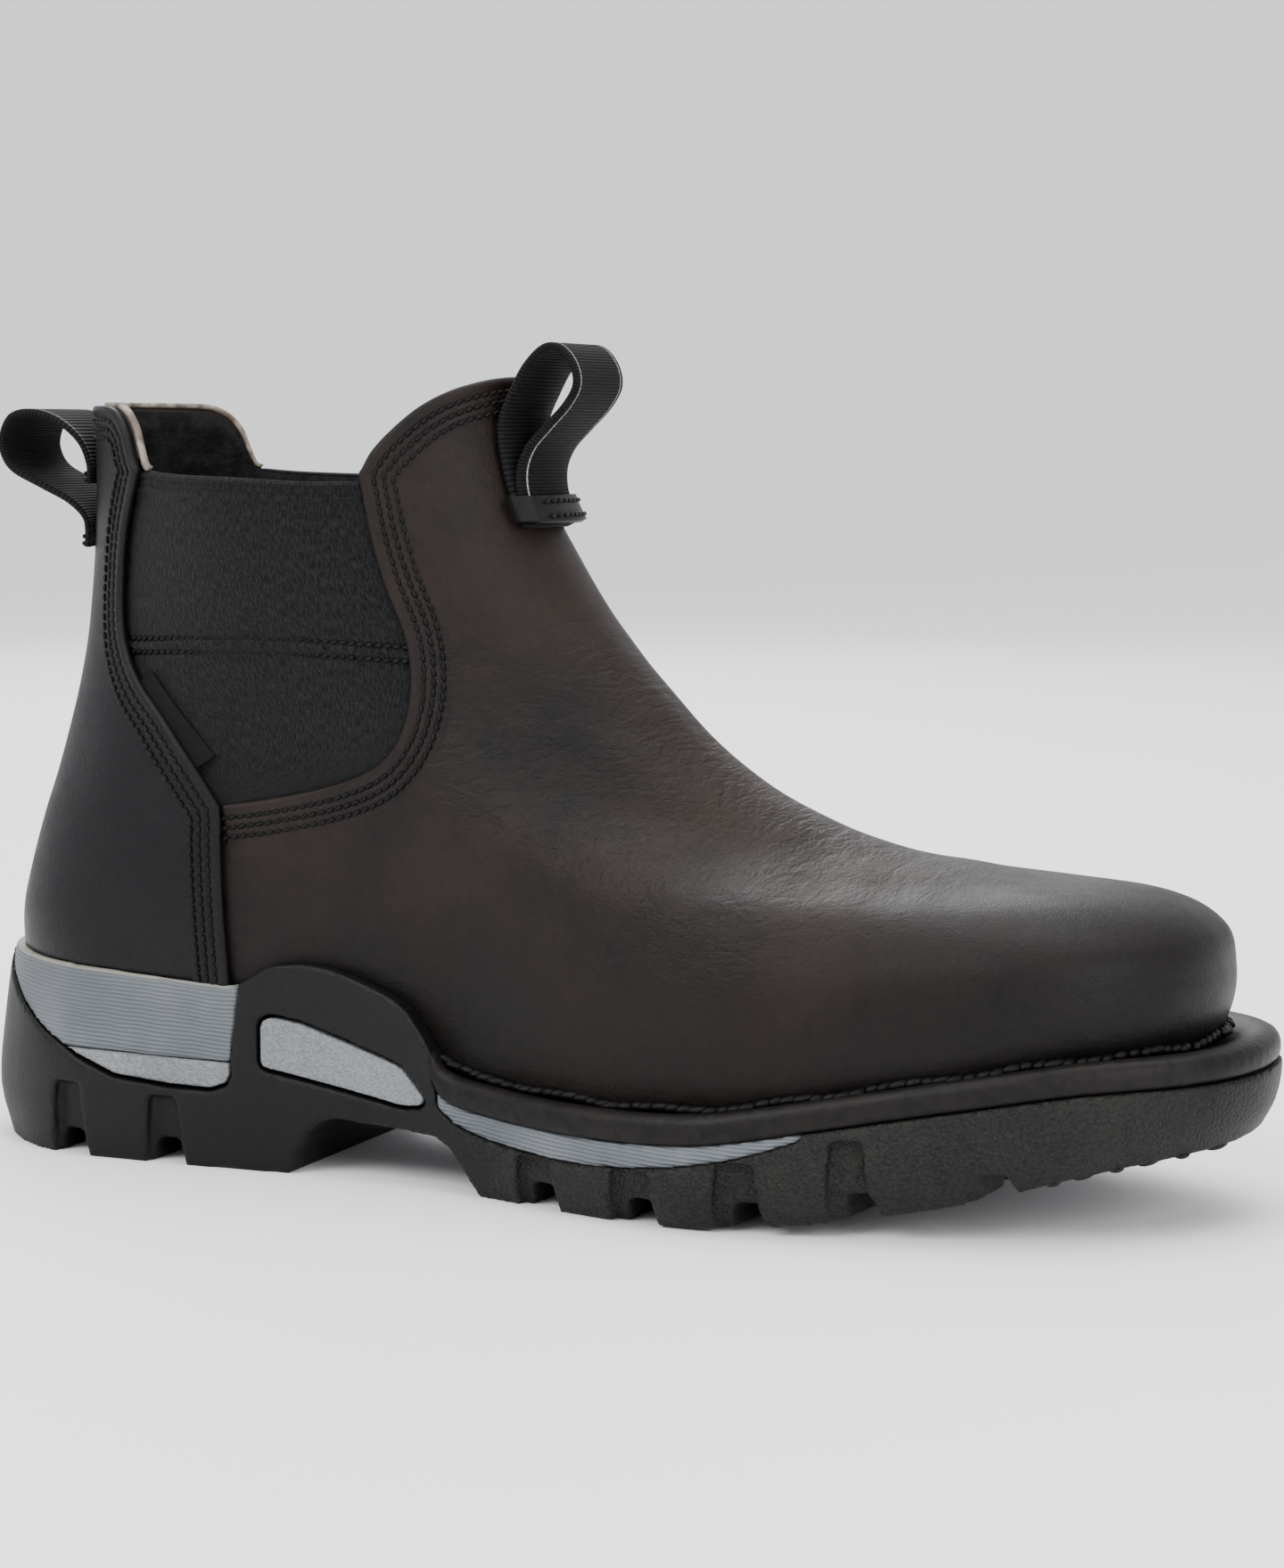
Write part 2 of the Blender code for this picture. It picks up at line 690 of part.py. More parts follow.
def welt_band(name, grow):
    """The band of the sole's edge that the welt fills, seen from the side."""
    line = top_line(WELT_START, WELT_THICKNESS + grow)
    line[0] = (line[0][0] - grow, line[0][1])
    return side_prism(name, roofed(line))


def midsole_form(name, grow):
    """The heel block, the forefoot wedge and the core between them, as one cutter."""
    ceiling = HEEL_HEIGHT * WINDOW_CEILING
    heel = from_window(HEEL_WINDOW)
    heel = [(heel[0][0], ceiling)] + heel + [(heel[-1][0], ceiling)]
    front = rounded_outline(from_window(FOREFOOT_WINDOW))
    front = [(front[0][0], ceiling)] + front + [(front[-1][0], ceiling)]
    core = from_window((Window(CORE_START, CORE_CEILING), Window(CORE_START, CORE_LOW),
                        Window(CORE_END, CORE_LOW), Window(CORE_END, CORE_CEILING)))
    half = BALL_WIDTH * CORE_HALF_WIDTH + grow
    form = side_prism(name, grown(heel, grow))
    boolean(form, side_prism(name + "_front", grown(front, grow)), "UNION")
    boolean(form, side_prism(name + "_core", grown(core, grow), -half, half), "UNION")
    return form


def make_upper(leather):
    upper = shell("upper", 0.0, -UPPER_WALL, 0, UPPER_ROWS, leather)
    above = side_prism("above_collar", roofed(rounded_outline(from_side(COLLAR))))
    window = roofed(rounded_outline(from_side(GORE)))
    boolean(upper, above)
    boolean(upper, side_prism("gore_windows", window))
    return above, window


def make_gores(above, window, cloth):
    for name, low_y, high_y in (("gore_outer", -SKY, 0.0), ("gore_inner", 0.0, SKY)):
        gore = shell(name, -GORE_RECESS, -GORE_RECESS - GORE_THICKNESS, GORE_FIRST_ROW, UPPER_ROWS,
                     cloth)
        boolean(gore, side_prism(name + "_panel", grown(window, -GAP), low_y, high_y), "INTERSECT")
        boolean(gore, above)


def make_counter(above, leather):
    """The back counter, a leather panel laid over the upper from the sole to the collar."""
    counter = shell("back_counter", GAP + COUNTER_THICKNESS, GAP, 0, UPPER_ROWS, leather)
    edge = rounded_outline(from_side(GORE))[:CURVE_STEPS * GORE_TIP + 1]
    places = [LAST_LENGTH * COUNTER_FOOT_AT * k / FOOT_STEPS for k in range(FOOT_STEPS + 1)]
    foot = [(x, top_height(x) + COUNTER_LIFT) for x in places]
    line = [(x - PANEL_GAP, z) for x, z in reversed(edge)]
    outline = [(-BEYOND, foot[0][1])] + foot + from_side((COUNTER_KNEE,)) + line
    outline += [(line[-1][0], SKY), (-BEYOND, SKY)]
    boolean(counter, side_prism("counter_panel", outline), "INTERSECT")
    boolean(counter, above)


def make_sole(rubber, foam, stippled):
    top = side_prism("above_top_line", roofed(top_line(LINE_START, 0.0)))
    outsole = sole_body("outsole", 0.0, rubber)
    welt = sole_body("welt", 0.0, rubber)
    midsole = sole_body("midsole", -MIDSOLE_RECESS, foam)
    wedge = sole_body("heel_wedge", -MIDSOLE_RECESS, stippled)

    boolean(welt, welt_band("welt_band", 0.0), "INTERSECT")
    boolean(welt, upright_plug("welt_hole", -WELT_LEDGE, -SKY))
    welt_space = welt_band("welt_space", GAP)
    boolean(welt_space, upright_plug("welt_core", -WELT_LEDGE - GAP, -SKY - BEYOND))

    boolean(midsole, midsole_form("midsole_block", 0.0), "INTERSECT")
    boolean(midsole, welt_space)
    space = midsole_form("midsole_space", GAP)

    wedge_line = from_window(HEEL_WEDGE)
    boolean(wedge, side_prism("wedge_block", wedge_line), "INTERSECT")
    boolean(wedge, space)

    boolean(outsole, space)
    boolean(outsole, welt_space)
    boolean(outsole, side_prism("wedge_space", grown(wedge_line, GAP)))
    boolean(outsole, side_prism("arch", from_window(ARCH)))
    make_shank_plates(outsole, stippled)
    boolean(outsole, tread_grooves())
    for piece in (outsole, welt, midsole):
        boolean(piece, top)


def make_shank_plates(outsole, stippled):
    """A stippled plate let into each side of the shank, and its pocket in the outsole."""
    outline = from_window(SHANK_PLATE)
    floor = sole_body("plate_floor", -PLATE_RECESS - PLATE_DEPTH, hollow=False)
    pocket_floor = sole_body("pocket_floor", -PLATE_RECESS - PLATE_DEPTH - GAP, hollow=False)
    for name, low_y, high_y in (("outer", -SKY, 0.0), ("inner", 0.0, SKY)):
        plate = sole_body(f"shank_plate_{name}", -PLATE_RECESS, stippled)
        block = side_prism(f"plate_block_{name}", outline, low_y, high_y)
        pocket = side_prism(f"plate_pocket_{name}", grown(outline, GAP), low_y, high_y)
        boolean(plate, block, "INTERSECT")
        boolean(plate, floor)
        boolean(pocket, pocket_floor)
        boolean(outsole, pocket)


def make_insole(lining):
    bm = bmesh.new()
    inset = -INSOLE_INSET
    bed = [edge_point(k / COLUMNS, inset) for k in range(COLUMNS)]
    top = [Vector((p.x, p.y, bed_height(p.x) + INSOLE_THICKNESS)) for p in bed]
    bed = [Vector((p.x, p.y, bed_height(p.x))) for p in bed]
    loops = skin_rings(bm, [bed, top])
    close_across(bm, loops[0])
    close_across(bm, loops[1])
    return finish_mesh("insole", bm, parts, lining)


def wall_bend(column_u, height, clearance):
    """How far a strap over the wall falls back from its middle at a distance y to one side."""
    v = find_v(column_u, height)
    middle = shell_point(column_u, v, clearance)

    def bend(y):
        low, high = 0.0, TOE / 2
        for _ in range(HALVINGS):
            half = (low + high) / 2
            if abs(shell_point(column_u - half, v, clearance).y - middle.y) < abs(y):
                low = half
            else:
                high = half
        return shell_point(column_u - low, v, clearance).x - middle.x

    return bend


def webbing(name, column_u, path, clearance, width, thickness, finish):
    """A flat strap along a path of (x, z, wrap), bent round the wall where it is sewn down."""
    rings = []
    for k, (x, z, wrap) in enumerate(path):
        before, after = path[max(k - 1, 0)], path[min(k + 1, len(path) - 1)]
        run = Vector((after[0] - before[0], 0.0, after[1] - before[1])).normalized()
        out = Vector((run.z, 0.0, -run.x))
        bend = wall_bend(column_u, z, clearance)
        rows = []
        for j in range(LOOP_RIBS + 1):
            y = width * (j / LOOP_RIBS - 0.5)
            rows.append(Vector((x + wrap * bend(y), y, z)))
        rings.append([p + out * thickness / 2 for p in rows]
                     + [p - out * thickness / 2 for p in reversed(rows)])
    bm = bmesh.new()
    loops = skin_rings(bm, rings)
    for loop in (loops[0], loops[-1]):
        for j in range(LOOP_RIBS):
            bm.faces.new((loop[j], loop[j + 1], loop[-2 - j], loop[-1 - j]))
    return finish_mesh(name, bm, parts, finish)


def loop_path(table, column_u, clearance):
    """Where a pull loop runs, from its distance to the wall at each height."""
    side = 1 if column_u == TOE else -1
    rough = []
    for point in table:
        v = find_v(column_u, HEEL_HEIGHT + UPPER_HEIGHT * point.rise)
        foot = shell_point(column_u, v, clearance + point.layer * (WEBBING_THICKNESS + GAP))
        rough.append((foot.x + side * LOOP_REACH * point.out, foot.z, point.wrap))
    places = list(range(len(rough)))
    fine = [k / LOOP_STEPS for k in range((len(rough) - 1) * LOOP_STEPS + 1)]
    return [tuple(smooth(places, [p[axis] for p in rough], s) for axis in range(3)) for s in fine]


def make_pull_loops(cloth, leather):
    """The two loops, each clear of the wall or the counter under it, and the patch over the front one."""
    clear = WEBBING_THICKNESS / 2 + STRAP_CLEARANCE
    front = loop_path(FRONT_LOOP, TOE, clear)
    webbing("front_pull_loop", TOE, front, clear, WEBBING_WIDTH, WEBBING_THICKNESS, cloth)
    behind = clear + COUNTER_THICKNESS + GAP
    rear = loop_path(REAR_LOOP, BACK, behind)
    webbing("rear_pull_loop", BACK, rear, behind, WEBBING_WIDTH, WEBBING_THICKNESS, cloth)
    over = clear + 3 * WEBBING_THICKNESS / 2 + 2 * GAP + PATCH_THICKNESS / 2
    foot = find_v(TOE, front[-1][1])
    rise = find_v(TOE, front[-1][1] + PATCH_HEIGHT) - foot
    places = [shell_point(TOE, foot + rise * k / PATCH_ROWS, over) for k in range(PATCH_ROWS + 1)]
    path = [(place.x, place.z, 1.0) for place in places]
    webbing("front_loop_patch", TOE, path, over, PATCH_WIDTH, PATCH_THICKNESS, leather)


def stand_on_origin():
    """Puts the middle of the boot's box, at its lowest, on the origin."""
    bpy.context.view_layer.update()
    graph = bpy.context.evaluated_depsgraph_get()
    corners = []
    for piece in parts.objects:
        solid = piece.evaluated_get(graph)
        corners += [solid.matrix_world @ Vector(c) for c in solid.bound_box]
    low = [min(c[axis] for c in corners) for axis in range(3)]
    high = [max(c[axis] for c in corners) for axis in range(3)]
    root = bpy.data.objects.new("boot_root", None)
    parts.objects.link(root)
    for piece in list(parts.objects) + list(cutters.all_objects):
        if piece is not root:
            piece.parent = root
    root.location = (-(low[0] + high[0]) / 2, -(low[1] + high[1]) / 2, -low[2])


def main():
    clear_scene()
    leather = material("pull_up_leather", (0.022, 0.017, 0.015), 0.45)
    dark_leather = material("counter_leather", (0.016, 0.015, 0.015), 0.45)
    elastic = material("gore_elastic", (0.012, 0.012, 0.013), 0.85)
    rubber = material("sole_rubber", (0.012, 0.012, 0.013), 0.60)
    foam = material("midsole_foam", (0.19, 0.21, 0.23), 0.55)
    stippled = material("stippled_inserts", (0.25, 0.27, 0.29), 0.50)
    lining = material("insole_lining", (0.010, 0.010, 0.011), 0.95)
    webbing_cloth = material("loop_webbing", (0.012, 0.012, 0.013), 0.80)

    above, window = make_upper(leather)
    make_gores(above, window, elastic)
    make_counter(above, dark_leather)
    make_sole(rubber, foam, stippled)
    make_insole(lining)
    make_pull_loops(webbing_cloth, dark_leather)
    stand_on_origin()


main()
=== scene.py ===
# %% [markdown]
# # Side gore work boot
#
# This lesson dresses a right boot that is already modelled as plain solids. The solids arrive as a fixed
# frame, and every piece made here sits where they say. The pieces follow the order in which a boot is
# made: the last, the leather, the gores, the sole, and then stitches and loops.

# %% Load the frame
import math

import bmesh
import bpy
import numpy as np
from mathutils import Matrix, Vector


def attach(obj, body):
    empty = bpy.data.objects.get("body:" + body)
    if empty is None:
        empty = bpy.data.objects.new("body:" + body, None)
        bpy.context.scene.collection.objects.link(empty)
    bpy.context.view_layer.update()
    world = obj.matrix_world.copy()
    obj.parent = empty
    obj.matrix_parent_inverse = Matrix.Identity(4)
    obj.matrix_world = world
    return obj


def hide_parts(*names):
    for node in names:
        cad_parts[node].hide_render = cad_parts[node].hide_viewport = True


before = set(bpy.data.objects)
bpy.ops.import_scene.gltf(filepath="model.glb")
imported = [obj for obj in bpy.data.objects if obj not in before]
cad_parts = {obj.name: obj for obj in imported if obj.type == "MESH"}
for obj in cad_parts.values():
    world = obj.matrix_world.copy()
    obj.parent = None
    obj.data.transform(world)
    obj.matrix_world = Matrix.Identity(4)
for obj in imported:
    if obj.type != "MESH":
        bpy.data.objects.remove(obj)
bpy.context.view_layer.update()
print("frame nodes:", sorted(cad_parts))

# %% [markdown]
# ## The last
#
# A shoemaker bends leather over a last, a solid form of the foot. Here the last is a table of level
# sections from the sole to the collar, the same one that the solids were lofted from. Numpy works out
# thousands of its points at once, so the pieces can be far finer than the solids.

# %% Sizes of the last and the sole
ROOT = np.array([-0.155237, -0.002377, 0.0])
LAST_LENGTH = 0.3005
BALL_WIDTH = 0.106
UPPER_HEIGHT = 0.144
HEEL_HEIGHT = 0.036
SOLE_EDGE = 0.0065
GAP = 0.0003

# %% The last's sections
# back, back rise, front, front rise, heel, waist, ball, toe, swing, arch, sag, heel round, toe round
SECTIONS = np.array([
    (0.026, 0.000, 0.993, 0.000, 0.288, 0.268, 0.455, 0.400, 0.050, 0.040, 1.00, 0.110, 0.190),
    (0.021, 0.070, 1.010, 0.068, 0.314, 0.287, 0.487, 0.432, 0.050, 0.035, 1.00, 0.115, 0.180),
    (0.020, 0.146, 1.013, 0.136, 0.327, 0.300, 0.498, 0.440, 0.050, 0.030, 0.90, 0.120, 0.180),
    (0.027, 0.222, 1.004, 0.200, 0.333, 0.308, 0.490, 0.425, 0.050, 0.025, 0.65, 0.135, 0.185),
    (0.038, 0.306, 0.962, 0.256, 0.334, 0.312, 0.462, 0.365, 0.048, 0.020, 0.40, 0.160, 0.210),
    (0.050, 0.382, 0.858, 0.316, 0.332, 0.312, 0.402, 0.285, 0.042, 0.015, 0.22, 0.200, 0.320),
    (0.061, 0.465, 0.752, 0.386, 0.328, 0.312, 0.362, 0.272, 0.034, 0.010, 0.10, 0.250, 0.400),
    (0.070, 0.542, 0.670, 0.468, 0.322, 0.315, 0.342, 0.285, 0.025, 0.005, 0.05, 0.310, 0.440),
    (0.078, 0.625, 0.601, 0.575, 0.318, 0.322, 0.334, 0.295, 0.016, 0.000, 0.02, 0.370, 0.460),
    (0.083, 0.722, 0.541, 0.704, 0.315, 0.331, 0.330, 0.302, 0.008, 0.000, 0.00, 0.430, 0.480),
    (0.086, 0.806, 0.497, 0.835, 0.313, 0.337, 0.330, 0.307, 0.002, 0.000, 0.00, 0.460, 0.490),
    (0.088, 0.896, 0.467, 0.958, 0.313, 0.341, 0.332, 0.310, 0.000, 0.000, 0.00, 0.480, 0.490),
    (0.088, 1.060, 0.446, 1.190, 0.315, 0.345, 0.335, 0.312, 0.000, 0.000, 0.00, 0.480, 0.490)])
LEVELS = np.linspace(0.0, 1.0, len(SECTIONS))
BACK, FRONT = SECTIONS[:, 0], SECTIONS[:, 2]
WIDTH_STATIONS = (0.0, 0.15, 0.40, 0.66, 0.85, 1.0)
TOE_END, HEEL_POWER, TOE_POWER = 0.92, 2.0, 2.3
SWING_START, SWING_GAIN = 0.25, 1.6
ARCH_CENTRE, ARCH_SPREAD = 0.42, 0.20
STEP_U, STEP_V, HALVINGS, SIDE_ROUNDS = 0.002, 0.004, 22, 7

# %% Heights along the boot, and how far the sole stands out
# at (a share of LAST_LENGTH), footbed, underside (shares of HEEL_HEIGHT)
BEDS = np.array([
    (-0.030, 1.000, 0.000), (0.000, 1.000, 0.000), (0.220, 0.960, 0.000), (0.340, 0.830, 0.000),
    (0.450, 0.690, 0.000), (0.560, 0.625, 0.000), (0.670, 0.620, 0.015), (0.760, 0.660, 0.090),
    (0.860, 0.800, 0.240), (0.940, 0.920, 0.415), (1.040, 1.040, 0.570)])
TOP_LINE = np.array([
    (-0.040, 1.350), (0.000, 1.345), (0.130, 1.290), (0.255, 1.225), (0.275, 1.290), (0.292, 1.375),
    (0.335, 1.395), (0.375, 1.310), (0.412, 1.175), (0.434, 0.960), (0.447, 0.800), (0.490, 0.730),
    (0.570, 0.695), (0.670, 0.722), (0.760, 0.848), (0.860, 1.000), (0.940, 1.105), (1.000, 1.130),
    (1.060, 1.150)])
# at, then the underside's edge, the shoulder, the middle and the rim (shares of SOLE_EDGE)
SPREADS = np.array([
    (0.000, 1.85, 2.65, 2.15, 1.35), (0.060, 0.95, 1.25, 1.20, 0.95), (0.250, 0.65, 0.90, 1.00, 0.95),
    (0.420, 0.45, 0.75, 1.00, 1.10), (0.600, 0.70, 1.25, 1.35, 1.40), (0.800, 0.75, 1.40, 1.55, 1.50),
    (0.950, 1.10, 1.75, 2.00, 2.00), (1.000, 2.10, 2.50, 2.70, 2.60)])
SIDE_RISES = (0.0, 0.25, 0.60, 1.0)

# %% Edges of the leather, seen from the side (share of LAST_LENGTH, share of UPPER_HEIGHT)
COLLAR = np.array([
    (-0.100, 1.000), (0.124, 1.000), (0.142, 0.990), (0.155, 0.960), (0.162, 0.918), (0.168, 0.897),
    (0.266, 0.885), (0.352, 0.880), (0.366, 0.892), (0.374, 0.924), (0.388, 0.960), (0.408, 1.000),
    (0.432, 1.030), (0.466, 1.052), (0.600, 1.075)])
GORE_BACK = np.array([
    (0.248, 0.351), (0.226, 0.414), (0.196, 0.490), (0.166, 0.555), (0.149, 0.620), (0.145, 0.690),
    (0.150, 0.790), (0.168, 0.897)])
GORE_FRONT = np.array([
    (0.248, 0.351), (0.291, 0.365), (0.346, 0.392), (0.385, 0.427), (0.404, 0.472), (0.412, 0.530),
    (0.411, 0.590), (0.404, 0.645), (0.389, 0.715), (0.376, 0.797), (0.366, 0.892)])
COUNTER_EDGE = np.array([(0.252, 0.020), (0.252, 0.080), (0.250, 0.210), (0.249, 0.300)])
print("tables:", len(SECTIONS), "sections,", len(TOP_LINE), "heights")


# %% A smooth curve through a table
def smooth(places, values, at):
    """Values between a table's rows. Each row holds one number, or one for each point."""
    places = np.asarray(places, float)
    at = np.clip(np.ravel(np.asarray(at, float)), places[0], places[-1])
    rows = np.broadcast_to(np.asarray(values, float).reshape(len(places), -1), (len(places), at.size))
    before = np.maximum(np.arange(len(places)) - 1, 0)
    after = np.minimum(np.arange(len(places)) + 1, len(places) - 1)
    slopes = (rows[after] - rows[before]) / (places[after] - places[before])[:, None]
    low = np.clip(np.searchsorted(places, at, side="right") - 1, 0, len(places) - 2)
    span = places[low + 1] - places[low]
    t = (at - places[low]) / span
    k = np.arange(at.size)
    return ((1 + 2 * t) * (1 - t) ** 2 * rows[low, k] + t * (1 - t) ** 2 * span * slopes[low, k]
            + t * t * (3 - 2 * t) * rows[low + 1, k] + t * t * (t - 1) * span * slopes[low + 1, k])


def bed_height(x):
    return HEEL_HEIGHT * smooth(BEDS[:, 0], BEDS[:, 1], x / LAST_LENGTH)


def under_height(x):
    return np.maximum(0.0, HEEL_HEIGHT * smooth(BEDS[:, 0], BEDS[:, 2], x / LAST_LENGTH))


def top_height(x):
    return HEEL_HEIGHT * smooth(TOP_LINE[:, 0], TOP_LINE[:, 1], x / LAST_LENGTH)


# %% Points of the last
def round_end(along, reach, power):
    left = 1 - np.minimum(1.0, np.maximum(0.0, along) / reach)
    return (1 - left ** power) ** (1 / power)


def last(u, v):
    """u runs from 0 at the back by the outer side to 0.5 at the toe and on to 1. v rises from 0 to 1."""
    u, v = np.ravel(np.mod(u, 1.0)), np.ravel(v)
    u, v = np.broadcast_arrays(u, v)
    (back, back_rise, front, front_rise, heel, waist, ball, toe, swing, arch, sag, heel_round,
     toe_round) = (smooth(LEVELS, SECTIONS[:, k], v) for k in range(SECTIONS.shape[1]))
    side = np.where(u <= 0.5, -1.0, 1.0)
    along = (1 - np.cos(2 * np.pi * np.minimum(u, 1 - u))) / 2
    back, front = LAST_LENGTH * back, LAST_LENGTH * front
    x = back + (front - back) * along
    half = BALL_WIDTH * smooth(WIDTH_STATIONS, np.stack([heel, heel, waist, ball, toe, toe * TOE_END]),
                               along)
    half = half * round_end(along, heel_round, HEEL_POWER) * round_end(1 - along, toe_round, TOE_POWER)
    turn = swing * SWING_GAIN * (np.maximum(0.0, along - SWING_START) / (1 - SWING_START)) ** 2
    hollow = arch * np.exp(-((along - ARCH_CENTRE) / ARCH_SPREAD) ** 2)
    y = BALL_WIDTH * (turn - hollow) + side * half
    low_back, low_front = bed_height(back), bed_height(front)
    straight = low_back + (low_front - low_back) * along
    rise = back_rise + (front_rise - back_rise) * along
    z = straight + sag * (bed_height(x) - straight) + UPPER_HEIGHT * rise
    return np.stack([x, y, z], axis=1)


def directions(u, v):
    """The surface's two directions and its outward normal."""
    low, high = np.clip(v - STEP_V, 0, 1), np.clip(v + STEP_V, 0, 1)
    around = (last(u + STEP_U, v) - last(u - STEP_U, v)) / (2 * STEP_U)
    upward = (last(u, high) - last(u, low)) / (high - low)[:, None]
    return around, upward, unit(np.cross(around, upward))


def shell(u, v, out):
    """Points at a distance from the last, in the frame's own place."""
    u, v = np.broadcast_arrays(np.ravel(u), np.ravel(v))
    return last(u, v) + directions(u, v)[2] * np.ravel(out)[:, None] + ROOT


# %% Finding a place on the last
def unit(rows):
    return rows / np.linalg.norm(rows, axis=1)[:, None]


def run_length(points):
    """How far along a line each of its points lies."""
    return np.concatenate([[0], np.cumsum(np.linalg.norm(np.diff(points, axis=0), axis=1))])


def find_v(u, goal):
    """The v where goal(points) turns from negative to positive, found by halving in each column."""
    low, high = np.zeros(len(u)), np.ones(len(u))
    for _ in range(HALVINGS):
        middle = (low + high) / 2
        below = goal(last(u, middle)) < 0
        low, high = np.where(below, middle, low), np.where(below, high, middle)
    return (low + high) / 2


def on_side(x, z, side):
    """The (u, v) of points seen from the side, on the outer side (-1) or the inner side (1)."""
    u = np.full(len(x), 0.2)
    for _ in range(SIDE_ROUNDS):
        v = find_v(np.mod(-side * u, 1.0), lambda p: p[:, 2] - z)
        back, front = (LAST_LENGTH * smooth(LEVELS, ends, v) for ends in (BACK, FRONT))
        along = np.clip((x - back) / (front - back), 0.0, 1.0)
        u = np.arccos(1 - 2 * along) / (2 * np.pi)
    return -side * u, v


def collar_height(x):
    return HEEL_HEIGHT + UPPER_HEIGHT * smooth(COLLAR[:, 0], COLLAR[:, 1], x / LAST_LENGTH)


def collar_v(u):
    return find_v(u, lambda p: p[:, 2] - collar_height(p[:, 0]))


def level_v(u, share):
    """The v at a share of the upper's height."""
    return find_v(u, lambda p: p[:, 2] - HEEL_HEIGHT - UPPER_HEIGHT * share)


def foot_v(u, lift):
    return find_v(u, lambda p: p[:, 2] - top_height(p[:, 0]) - lift)


def smooth_line(points, count):
    """Places evenly along a smooth line through side-view points."""
    places = run_length(points)
    at = np.linspace(0, places[-1], count)
    return np.stack([smooth(places, points[:, 0], at), smooth(places, points[:, 1], at)], axis=1)


def side_line(table, count):
    """A smooth line through a table of shares, in metres."""
    return smooth_line(np.stack([LAST_LENGTH * table[:, 0], HEEL_HEIGHT + UPPER_HEIGHT * table[:, 1]],
                                axis=1), count)


print("the collar's v at the back, a gore and the toe:", collar_v(np.array([0.0, 0.15, 0.5])).round(3))
gore_back, gore_front = side_line(GORE_BACK, 90), side_line(GORE_FRONT, 110)
counter_edge = np.concatenate([side_line(COUNTER_EDGE, 30), gore_back])
print("gore edges:", gore_back[0].round(4), gore_back[-1].round(4), gore_front[-1].round(4))

# %% [markdown]
# ## Making a skin
#
# Every curved piece starts as one flat grid from `create_grid`. Its points are then moved to where the
# last says. Solidify gives a sheet its thickness, so a leather edge shows as it does on a real boot.


# %% A grid moved into place
def skin(name, places, keep=None, merge=True, scale=(1.0, 1.0), caps=False):
    """A mesh from an array of rows and columns of points. keep(face centres) trims it."""
    rows, columns = places.shape[0] - 1, places.shape[1] - 1
    bm = bmesh.new()
    bm.loops.layers.uv.new("UVMap")
    bmesh.ops.create_grid(bm, x_segments=columns, y_segments=rows, size=0.5, calc_uvs=True)
    mesh = bpy.data.meshes.new(name)
    bm.to_mesh(mesh)
    bm.free()
    flat = np.empty(len(mesh.vertices) * 3)
    mesh.vertices.foreach_get("co", flat)
    j = np.rint((flat[0::3] + 0.5) * columns).astype(int)
    i = np.rint((flat[1::3] + 0.5) * rows).astype(int)
    mesh.vertices.foreach_set("co", places[i, j].ravel())
    uv = np.empty(len(mesh.loops) * 2)
    mesh.uv_layers[0].data.foreach_get("uv", uv)
    uv[0::2] *= scale[0]
    uv[1::2] *= scale[1]
    mesh.uv_layers[0].data.foreach_set("uv", uv)
    bm = bmesh.new()
    bm.from_mesh(mesh)
    if keep is not None:
        bm.faces.ensure_lookup_table()
        lost = [bm.faces[k] for k in np.flatnonzero(~keep)]
        bmesh.ops.delete(bm, geom=lost, context="FACES")
    if merge:
        bmesh.ops.remove_doubles(bm, verts=bm.verts, dist=1e-6)
    if caps:
        bmesh.ops.holes_fill(bm, edges=[e for e in bm.edges if e.is_boundary])
        bmesh.ops.recalc_face_normals(bm, faces=bm.faces)
    return piece_from(name, bm, mesh)


def piece_from(name, bm, mesh=None):
    """A smooth shaded object from a bmesh."""
    mesh = mesh or bpy.data.meshes.new(name)
    bm.to_mesh(mesh)
    bm.free()
    mesh.shade_smooth()
    made = bpy.data.objects.new(name, mesh)
    bpy.context.scene.collection.objects.link(made)
    return made


def dress(piece, finish, replaces=()):
    """Gives a piece its material and its body, and hides the nodes that it replaces."""
    piece.data.materials.clear()
    piece.data.materials.append(finish)
    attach(piece, "root")
    if replaces:
        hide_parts(*replaces)
    print(piece.name, len(piece.data.polygons), "faces")


def thicken(piece, thickness):
    """A wall inwards from the skin."""
    wall = piece.modifiers.new("wall", "SOLIDIFY")
    wall.thickness, wall.offset = thickness, -1


def turn_outwards(piece, weld=0.0):
    """Turns a piece's faces outwards, after joining its points that are closer than weld."""
    bm = bmesh.new()
    bm.from_mesh(piece.data)
    if weld:
        bmesh.ops.remove_doubles(bm, verts=bm.verts, dist=weld)
    bmesh.ops.recalc_face_normals(bm, faces=bm.faces)
    bm.to_mesh(piece.data)
    bm.free()


# %% Side-view tests for trimming
def inside(points, outline):
    """Which side-view points lie inside a closed outline."""
    x, z = points[:, 0, None], points[:, 1, None]
    a, b = outline, np.roll(outline, -1, axis=0)
    crosses = (a[:, 1] > z) != (b[:, 1] > z)
    at = a[:, 0] + (z - a[:, 1]) * (b[:, 0] - a[:, 0]) / (b[:, 1] - a[:, 1] + 1e-12)
    return np.sum(crosses & (x < at), axis=1) % 2 == 1


def nearest(points, line):
    """The nearest place on a line, and its distance."""
    a, run = line[:-1], np.diff(line, axis=0)
    t = np.clip(np.sum((points[:, None] - a) * run, axis=2) / np.sum(run * run, axis=1), 0, 1)
    feet = a + t[..., None] * run
    away = np.linalg.norm(points[:, None] - feet, axis=2)
    best = np.argmin(away, axis=1)
    k = np.arange(len(points))
    return feet[k, best], away[k, best]


